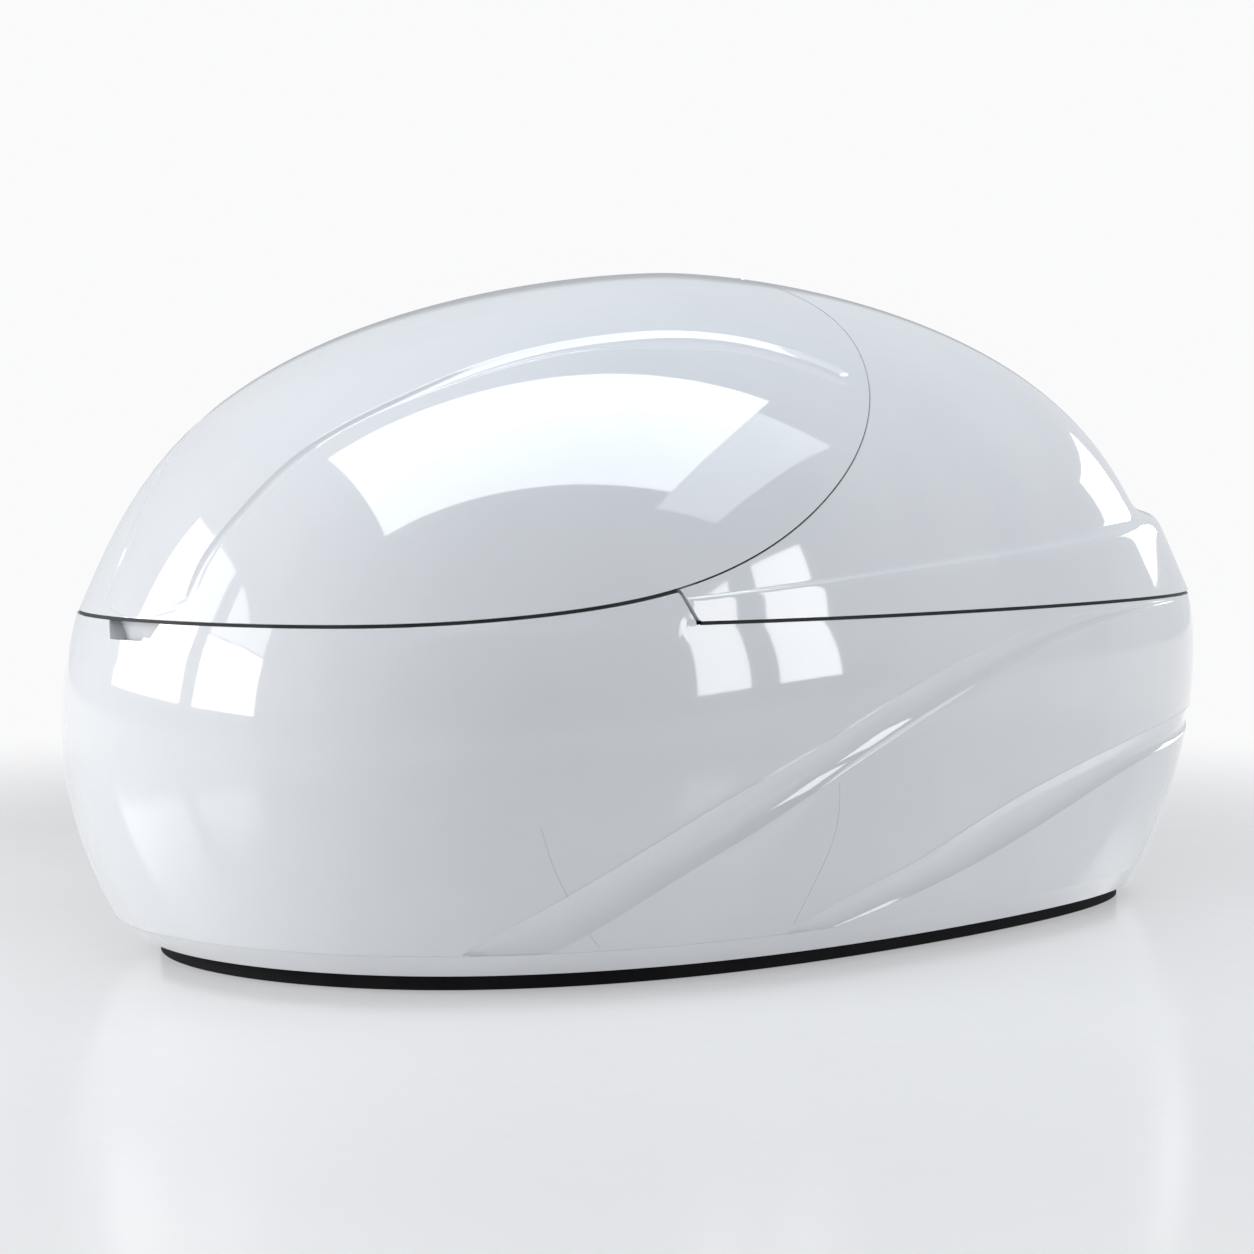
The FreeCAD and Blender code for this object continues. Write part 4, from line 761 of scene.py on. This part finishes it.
def canopyGrid(count, inset=0.0):
    c = canopy
    stations = canopyColumns(inset, count)
    top = seamHeight(stations, inset)
    foot = np.full(len(stations), case["rimHeight"] + 4.0)
    for _ in range(8):
        foot = canopyFoot(planPoint(collarRing(foot, inset), stations)[0])
    foot = np.minimum(foot, top - 0.4)
    step = foot * 0 + c["stepStart"]
    for _ in range(12):
        x = planPoint(collarRing(step, inset), stations)[0]
        step = alongLine(x, joint["ledge"]) - inset * 0.7
    step = np.clip(step, foot + 0.1, top - 0.25)
    inside = np.minimum(step + alongLine(x, joint["ledgeLift"]), top - 0.1)
    proud = joint["collarProud"] * softStep((step - foot) / 20) if inset == 0 else 0
    zWall = foot + (step - foot) * np.linspace(0, 1, c["wallRows"])[:, None] ** 0.6
    wallPoints = ringPoints(collarRing(zWall, inset - proud), stations, zWall)
    turn = np.arcsin((inside - case["rimHeight"]) / (domeRise - inset))
    turnTop = np.arcsin(np.minimum((top - case["rimHeight"]) / (domeRise - inset), 1))
    share = (np.linspace(0, 1, c["domeRows"]) ** 1.15)[:, None]
    zDome = case["rimHeight"] + (domeRise - inset) * np.sin(turn + (turnTop - turn) * share)
    domePoints = ringPoints(domeRing(zDome, inset), stations, zDome)
    ledge = between(wallPoints[-1], domePoints[0], c["ledgeRows"] - 2)
    rows = np.concatenate([wallPoints, ledge, domePoints])
    rows[..., 1] *= -1
    # ease the ledge's outer edge and the hollow behind it
    first = c["wallRows"] - 4
    last = c["wallRows"] + c["ledgeRows"] + 3
    for _ in range(c["easing"]):
        rows[first:last] = (rows[first - 1:last - 1] + 2 * rows[first:last] + rows[first + 1:last + 1]) / 4
    return rows


def mirrorOpen(grid):
    # near side, then the far one back to the notch; the tail's middle is shared
    return np.concatenate([grid, grid[:, -2::-1] * [1, -1, 1]], 1)


rows, backRows = [mirrorOpen(canopyGrid(canopy["columns"], inset)) for inset in (0.0, case["domeSkin"])]
canopyShell = shellBetween("rearCanopy", rows, backRows, (1.3, 50), [hingeSlot])
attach(canopyShell, "tank"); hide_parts("rear_canopy"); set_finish(canopyShell, "white_gelcoat")


def canopyLining():
    # foam-backed lining inside the canopy, its foot standing on the deck
    grids = []
    for depth, inset in ((case["domeSkin"] + 0.3, canopy["footInset"]), (case["domeWall"], case["domeWall"])):
        grid = canopyGrid(canopy["linerColumns"], depth)
        x, z = grid[0, :, 0], grid[0, :, 2]
        foot = z + (canopy["linerFoot"] - z) * softStep((x + 560) / 60)
        width = halfWidthAt(baseRing, x, np.full_like(foot, canopy["deckHeight"]), inset)
        row = np.stack([x, -np.minimum(width, -grid[0, :, 1]), foot], 1)
        grids.append(mirrorOpen(np.concatenate([row[None], grid])))
    return shellBetween("canopyLiner", *grids, (2.0, 50), [blockCut(*canopy["linerSlot"])])


canopyLiner = canopyLining()
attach(canopyLiner, "tank"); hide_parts("canopy_liner", "canopy_foam")
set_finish(canopyLiner, "liner_white")
print("canopy made", len(canopyShell.data.polygons), len(canopyLiner.data.polygons))


# the tub: deck, rolled mouth and basin
tub = {
    "deckHeight": canopy["deckHeight"], "deckInset": 16.4, "mouth": (820.0, 1410.0, 660.0),
    "tailPower": 2.5, "floor": 300.0, "slope": 100.0, "corner": 60.0, "wall": 8.0, "lip": 9.0,
    "columns": 210, "columnHeight": 470.0, "endColumns": ((0, 66, 12), (76, 240, 12)),
    "lipRows": 7, "wallRows": 36, "cornerRows": 12, "deckShares": (0, 0.03, 0.3, 0.6, 0.9, 1.0),
    "floorCentre": -100.0, "floorShares": (0.75, 0.5, 0.25, 0.08, 0.0), "seatBlend": 12,
    "gripCut": ((-1400, -1256.5), (-100, 100), (600, 700)),
    "seats": [((-1105.0, 0.0, 470.0), (1, 0), 52.0), ((965.0, 0.0, 470.0), (-1, 0), 52.0),
              ((-100.0, -561.7, 420.0), (0, 1), 38.0)],
    "holes": [((-1105, 0, 470), (1, 0, 0), 36.3, 90), ((965, 0, 470), (1, 0, 0), 36.3, 90),
              ((-100, -580, 420), (0, 1, 0), 20.3, 90), ((1112, 0, 660), (0, 0, 1), 46.0, 30),
              ((300, 0, 296), (0, 0, 1), 30.3, 60), ((800, 0, 296), (0, 0, 1), 30.3, 60),
              ((-60, -692, 660), (0, 0, 1), 19.0, 30), ((-60, 692, 660), (0, 0, 1), 19.0, 30)],
}


def tubRing(z, more, grow):
    front, rear, side = tub["mouth"]
    inset = tub["slope"] * (tub["deckHeight"] - z) / (tub["deckHeight"] - tub["floor"]) + more - grow
    return (case["widestX"], front - inset, rear - inset, side - inset, side - inset, tub["tailPower"])


def tubProfile(grow):
    # heights and extra insets from the rolled mouth down to the floor
    t = tub
    lip, bend = [[math.radians(a) for a in np.linspace(0, 90, t[rows])] for rows in ("lipRows", "cornerRows")]
    profile = [(t["deckHeight"] - grow - t["lip"] * (1 - math.cos(a)), -t["lip"] * (1 - math.sin(a)))
               for a in lip]
    floor, corner = t["floor"] - grow, t["corner"] + grow
    profile += [(z, 0.0) for z in np.linspace(profile[-1][0], floor + corner, t["wallRows"])[1:-1]]
    return profile + [(floor + corner * (1 - math.sin(a)), corner * (1 - math.cos(a))) for a in bend]


def tubFace(stations, grow):
    t = tub

    def loop(ring, z):
        x, y = planPoint(ring, stations)
        return np.stack([x, -y, np.full_like(x, z)], -1)
    profile = tubProfile(grow)
    deck = loop(baseRing(t["deckHeight"], t["deckInset"]), t["deckHeight"] - grow)
    mouth = loop(tubRing(t["deckHeight"], profile[0][1], grow), t["deckHeight"] - grow)
    rows = [deck + (mouth - deck) * f for f in t["deckShares"]]
    rows += [loop(tubRing(z, more, grow), z) for z, more in profile[1:]]
    last, centre = rows[-1], np.array([t["floorCentre"], 0.0, t["floor"] - grow])
    points = np.array(rows + [centre + (last - centre) * f for f in t["floorShares"]])
    # flat seats for the lights and the return jet, blended into the wall
    for seat, direction, radius in t["seats"]:
        axis = 0 if direction[0] else 1
        way = direction[axis]
        near = np.hypot(points[..., 1 - axis] - seat[1 - axis], points[..., 2] - seat[2])
        weight = (1 - softStep((near - radius) / t["seatBlend"])) * (points[..., axis] * way < 0)
        moved = np.maximum(points[..., axis] * way, (seat[axis] - way * grow) * way) * way
        points[..., axis] += (moved - points[..., axis]) * weight
    return bothSides(points)


def makeTub():
    t = tub
    ring, endY = tubRing(t["columnHeight"], 0, 0), stretches(*t["endColumns"])
    nose, tail = [stationFromWidth(ring, endY, way * np.ones(len(endY))) for way in (-1, 1)]
    middle = -np.cos(np.pi * np.linspace(0, 1, t["columns"]))
    middle = middle[(middle > nose[-1] + 0.004) & (middle < tail[-1] - 0.003)]
    stations = np.concatenate([nose, middle, tail[::-1]])
    cuts = [drillCut(*hole) for hole in t["holes"]] + [blockCut(*t["gripCut"])]
    outer, inner = tubFace(stations, 0.0), tubFace(stations, t["wall"])
    return shellBetween("floatTub", outer, inner, (2.0, 60), cuts, True)


floatTub = makeTub()
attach(floatTub, "tank"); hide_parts("tub"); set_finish(floatTub, "liner_white")
print("tub made", len(floatTub.data.polygons))


# materials
class Signal:
    # one socket of a node tree, so that sums of nodes read as sums
    def __init__(self, recipe, socket):
        self.recipe, self.socket = recipe, socket

    def maths(self, operation, *others):
        return self.recipe.node("ShaderNodeMath", {"operation": operation}, dict(enumerate((self,) + others)))

    def __add__(self, other): return self.maths("ADD", other)
    def __sub__(self, other): return self.maths("SUBTRACT", other)
    def __mul__(self, other): return self.maths("MULTIPLY", other)
    def __truediv__(self, other): return self.maths("DIVIDE", other)
    def __pow__(self, other): return self.maths("POWER", other)
    def __rsub__(self, other): return (self * -1.0).maths("ADD", other)
    __radd__ = __add__
    __rmul__ = __mul__

    def step(self, low, high, start=0.0, end=1.0):
        return self.recipe.node("ShaderNodeMapRange", {"interpolation_type": "SMOOTHSTEP"},
                                {"Value": self, "From Min": low, "From Max": high,
                                 "To Min": start, "To Max": end})


class Nodes:
    # the nodes of a material or of the world
    def __init__(self, owner):
        owner.use_nodes = True
        self.tree = owner.node_tree

    def put(self, node, inputs):
        for key, value in inputs.items():
            if isinstance(value, Signal):
                self.tree.links.new(value.socket, node.inputs[key])
            else:
                node.inputs[key].default_value = value

    def node(self, kind, settings=None, inputs=None, output=0):
        node = self.tree.nodes.new(kind)
        for key, value in (settings or {}).items():
            setattr(node, key, value)
        self.put(node, inputs or {})
        return Signal(self, node.outputs[output])

    def blend(self, share, first, second, output):
        # two shaders mixed, shown as the surface of the output node
        seen = self.node("ShaderNodeMixShader", {}, {0: share, 1: first, 2: second})
        self.tree.links.new(seen.socket, self.tree.nodes[output].inputs["Surface"])


class Recipe(Nodes):
    def __init__(self, name, **fixed):
        self.material = bpy.data.materials.new(name)
        super().__init__(self.material)
        self.shader = self.tree.nodes["Principled BSDF"]
        self.put(self.shader, fixed)

    def place(self, scale=(1, 1, 1)):
        where = self.node("ShaderNodeTexCoord", output="Object")
        return self.node("ShaderNodeMapping", {}, {"Vector": where, "Scale": scale})

    def noise(self, where, scale, detail=3.0, rough=0.5):
        return self.node("ShaderNodeTexNoise", {},
                         {"Vector": where, "Scale": scale, "Detail": detail, "Roughness": rough})

    def mix(self, amount, a, b):
        return self.node("ShaderNodeMix", {"data_type": "RGBA"}, {0: amount, 6: a, 7: b}, output=2)

    def bump(self, height, strength, distance):
        return self.node("ShaderNodeBump", {}, {"Height": height, "Strength": strength, "Distance": distance})


# colour, second colour, patch size of the mottle, roughness and its swing, grain scale, bump in mm, extras
finishes = {
    "white_gelcoat": ((0.70, 0.715, 0.74), (0.73, 0.745, 0.765), 2.2, 0.055, 0.03, 70, 0.018,
                      dict(coat=0.6, specks=0.04)),
    "liner_white": ((0.72, 0.74, 0.76), (0.66, 0.69, 0.72), 3.0, 0.24, 0.08, 260, 0.05,
                    dict(coat=0.15, specks=0.05)),
    "foam_grey": ((0.33, 0.34, 0.35), (0.26, 0.27, 0.28), 9, 0.85, 0.1, 420, 0.5, dict(cells=220)),
    "seal_black": ((0.008, 0.008, 0.009), (0.02, 0.02, 0.021), 14, 0.55, 0.15, 900, 0.04, dict(shine=0.2)),
    "plinth_black": ((0.006, 0.006, 0.007), (0.010, 0.010, 0.011), 6, 0.75, 0.12, 500, 0.06,
                     dict(shine=0.08)),
    "heater_orange": ((0.72, 0.21, 0.04), (0.62, 0.16, 0.03), 12, 0.5, 0.1, 700, 0.05,
                      dict(tracks=(28, (0.30, 0.07, 0.02)))),
    "frame_paint": ((0.23, 0.25, 0.27), (0.19, 0.21, 0.23), 8, 0.42, 0.12, 620, 0.09, {}),
    "stainless": ((0.62, 0.62, 0.61), (0.54, 0.54, 0.54), 20, 0.22, 0.1, 160, 0.012,
                  dict(metal=1.0, brushed=(1, 30, 30))),
    "polished": ((0.70, 0.70, 0.71), (0.62, 0.62, 0.63), 30, 0.08, 0.06, 240, 0.005,
                 dict(metal=1.0, brushed=(1, 18, 18))),
    "pvc_grey": ((0.22, 0.24, 0.26), (0.18, 0.20, 0.22), 14, 0.36, 0.1, 520, 0.04, {}),
    "pipe_white": ((0.68, 0.68, 0.65), (0.60, 0.60, 0.57), 9, 0.33, 0.1, 380, 0.03, {}),
    "pump_blue": ((0.03, 0.10, 0.28), (0.02, 0.07, 0.21), 16, 0.34, 0.14, 300, 0.16, dict(coat=0.2)),
    "filter_clear": ((0.55, 0.62, 0.66), (0.48, 0.56, 0.61), 7, 0.12, 0.06, 200, 0.03, dict(glass=0.75)),
    "cartridge": ((0.70, 0.74, 0.80), (0.56, 0.62, 0.70), 9, 0.8, 0.1, 800, 0.4,
                  dict(tracks=(60, (0.34, 0.40, 0.50)))),
    "tray_aluminium": ((0.55, 0.56, 0.57), (0.45, 0.46, 0.48), 10, 0.38, 0.14, 140, 0.03,
                       dict(metal=1.0, brushed=(1, 24, 24))),
    "box_grey": ((0.40, 0.42, 0.43), (0.35, 0.37, 0.38), 10, 0.46, 0.1, 700, 0.06, {}),
    "board_green": ((0.03, 0.16, 0.07), (0.02, 0.11, 0.05), 30, 0.35, 0.1, 900, 0.04,
                    dict(tracks=(190, (0.10, 0.34, 0.14)))),
    "lens": ((0.80, 0.88, 0.92), (0.72, 0.82, 0.88), 30, 0.08, 0.05, 180, 0.2, dict(glass=0.6)),
    "button_white": ((0.68, 0.74, 0.80), (0.62, 0.68, 0.75), 60, 0.2, 0.08, 700, 0.02, dict(coat=0.3)),
    "button_red": ((0.50, 0.018, 0.014), (0.40, 0.012, 0.010), 60, 0.2, 0.08, 700, 0.02, dict(coat=0.3)),
    "lever_red": ((0.48, 0.02, 0.015), (0.36, 0.014, 0.011), 40, 0.34, 0.12, 420, 0.08, {}),
}


def finish(name, colour, other, patch, rough, swing, grain, bump, coat=0.0, metal=0.0, glass=0.0,
           specks=0.0, cells=0, brushed=None, tracks=None, shine=0.5):
    r = Recipe(name, **{"Metallic": metal, "Specular IOR Level": shine, "IOR": 1.5})
    if coat:
        r.put(r.shader, {"Coat Roughness": 0.03, "Coat Weight": coat})
    if glass:
        r.put(r.shader, {"Transmission Weight": glass})
    where = r.place()
    along = r.place(brushed) if brushed else where
    mottle = r.noise(where, patch, 4.0, 0.55)
    height = grainy = r.noise(along, grain, 3.0, 0.6)
    tint = r.mix(mottle.step(0.35, 0.65), (*colour, 1), (*other, 1))
    roughness = (mottle - 0.5) * swing + (grainy - 0.5) * (swing * 0.8) + rough
    if specks:
        # dust and fine scuffs that dull the gloss a little
        dust = r.noise(where, 900, 2.0, 0.7).step(0.66, 0.76) * r.noise(where, 5, 3.0, 0.5).step(0.45, 0.7)
        roughness = roughness + dust * 0.12
        tint = r.mix(dust * specks, tint, (0.42, 0.42, 0.41, 1))
    if cells:
        bubbles = r.node("ShaderNodeTexVoronoi", {"feature": "F1"}, {"Vector": where, "Scale": float(cells)})
        height = height * 0.4 + bubbles
        tint = r.mix(bubbles.step(0.2, 0.75), tint, (*(c * 0.6 for c in other), 1))
    if tracks:
        lines, ink = tracks
        bands = r.node("ShaderNodeTexWave", {"wave_type": "BANDS", "bands_direction": "Y"},
                       {"Vector": where, "Scale": float(lines), "Distortion": 1.2, "Detail": 1.0}, output=1)
        printed = bands.step(0.62, 0.74)
        tint = r.mix(printed, tint, (*ink, 1))
        height = height * 0.3 + printed
    r.put(r.shader, {"Base Color": tint, "Roughness": roughness.maths("MAXIMUM", 0.02),
                     "Normal": r.bump(height, 1.0, bump / 1000)})
    return r.material


materials = {name: finish(name, *facts, **more) for name, (*facts, more) in finishes.items()}
slots = {part["node"]: part["material_slot"] for part in frame["record"]["subparts"]}
dressed = [(obj, slots[name]) for name, obj in nodes.items()]
for obj in (whiteBase, rearHatch, lidShell, canopyShell, lidLiner, canopyLiner, floatTub):
    dressed.append((obj, obj["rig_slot"]))
for obj, slot in dressed:
    obj.data.materials.clear()
    obj.data.materials.append(materials[slot])
print("materials made", len(materials))

# camera
cameraData = bpy.data.cameras.new("view")
cameraData.sensor_width = 36.0
cameraData.lens = 99.277
cameraData.clip_end = 100
camera = linked("view", cameraData)
camera.location = (-4.4827, -5.6158, 0.9898)
camera.rotation_euler = (math.radians(90 - 2.98), 0, -0.6591)
bpy.context.scene.camera = camera
bpy.context.scene.view_settings.view_transform = "Standard"

# glossy white floor, fading into a white surround
bpy.ops.mesh.primitive_circle_add(vertices=128, radius=30, fill_type="NGON", location=(0, 0, 0))
floor = bpy.context.active_object
floor.name = "floor"
surround = (0.955, 0.957, 0.965, 1)
r = Recipe("studioFloor", **{"Base Color": (0.90, 0.90, 0.905, 1)})
where = r.place()
streaks = r.noise(where, 1.2, 5.0, 0.6)
r.put(r.shader, {"Roughness": (streaks - 0.5) * 0.12 + 0.17,
                 "Normal": r.bump(r.noise(where, 9, 2.0), 0.25, 0.002)})
apart = r.node("ShaderNodeSeparateXYZ", {}, {0: where})
acrossY = Signal(r, apart.socket.node.outputs[1])
away = ((apart + 0.2) ** 2.0 + acrossY ** 2.0) ** 0.5
glow = r.node("ShaderNodeEmission", {}, {"Color": surround, "Strength": 1.0})
lit = Signal(r, r.shader.outputs[0])
r.blend(away.step(2.2, 5.2) * 0.63 + 0.37, lit, glow, "Material Output")
floor.data.materials.append(r.material)

# world: plain pale room, seen straight as the white surround and a little greyer in the gloss
world = bpy.data.worlds.new("room")
bpy.context.scene.world = world
w = Nodes(world)
backdrop = w.tree.nodes["Background"]
backdrop.inputs["Color"].default_value = surround
glossy, seen, through = [w.node("ShaderNodeLightPath", output=kind)
                         for kind in ("Is Glossy Ray", "Is Camera Ray", "Is Transmission Ray")]
# the gloss meets a darker strip of wall low behind the tank, which draws its outline
direction = w.node("ShaderNodeTexCoord", output="Generated")
behind = w.node("ShaderNodeVectorMath", {"operation": "DOT_PRODUCT"},
                {0: direction, 1: (0.609, 0.786, 0.105)}, output="Value")
strength = glossy * behind.step(0.968, 0.992, 0.39, 0.02) + 0.42
room = w.node("ShaderNodeBackground", {}, {"Color": (0.93, 0.96, 1.0, 1), "Strength": strength})
w.blend(seen.maths("MAXIMUM", through), room, Signal(w, backdrop.outputs[0]), "World Output")

# soft boxes: centre, point they face or turn in degrees, width and height in metres, level, colour, and
# whether they light the surface and whether they show in its gloss; windows only show in the gloss
white, cool = (1.0, 1.0, 1.0), (0.86, 0.93, 1.0)
softBoxes = {
    "ceiling": ((-0.27, -1.0, 3.5), -20.0, (4.6, 2.6), 1.5, cool, (True, False)),
    "ceilingGloss": ((-0.66, -1.06, 3.45), -26.6, (4.3, 2.3), 5.4, cool, (False, True)),
    "ceilingEdge": ((1.68, -2.62, 3.45), -26.6, (1.3, 2.4), 1.9, cool, (False, True)),
    "noseFill": ((-5.7, 1.9, 1.9), (0, 0, 0.6), (3.0, 3.0), 5.4, white, (True, False)),
    "tailFill": ((6.0, -1.8, 1.5), (0.5, 0, 0.4), (3.0, 2.4), 3.0, white, (True, False)),
}


def window(name, viewer, azimuth, distance, panes, rows):
    # panes side by side on an upright frame square to one direction seen from a point of the case
    turn = math.radians(azimuth)
    ahead = np.array([math.cos(turn), math.sin(turn)])
    across = np.array([-ahead[1], ahead[0]])
    for i, (left, right) in enumerate(panes):
        for j, (low, high, level) in enumerate(rows):
            middle = np.array(viewer) + ahead * distance + across * (left + right) / 2
            at = (middle[0], middle[1], (low + high) / 2)
            aim = (at[0] - ahead[0], at[1] - ahead[1], at[2])
            size = (right - left, high - low)
            softBoxes[name + str(i) + str(j)] = (at, aim, size, level, white, (False, True))


window("nose", (-1.28, -0.2), 142.0, 4.0, [(-2.1, 0.2), (0.58, 2.4)], [(0.82, 2.1, 8.0), (2.14, 3.6, 2.6)])
window("side", (-0.45, -0.79), -55.0, 4.0, [(-1.0, -0.2), (0.2, 1.0)], [(0.8, 2.7, 5.0)])
window("tail", (0.70, -0.40), 14.0, 4.4, [(-0.7, 0.7)], [(1.3, 2.3, 4.0)])
for name, (at, facing, size, level, colour, (lights, shines)) in softBoxes.items():
    data = bpy.data.lights.new(name, "AREA")
    data.shape = "RECTANGLE"
    data.size, data.size_y = size
    data.color = colour
    data.energy = level * math.pi * size[0] * size[1]
    lamp = linked(name, data)
    lamp.location = at
    if isinstance(facing, float):
        lamp.rotation_euler = (0, 0, math.radians(facing))
    else:
        lamp.rotation_euler = (Vector(facing) - Vector(at)).to_track_quat("-Z", "Y").to_euler()
    lamp.visible_camera = False
    lamp.visible_diffuse = lights
    lamp.visible_glossy = shines
print("lights made")
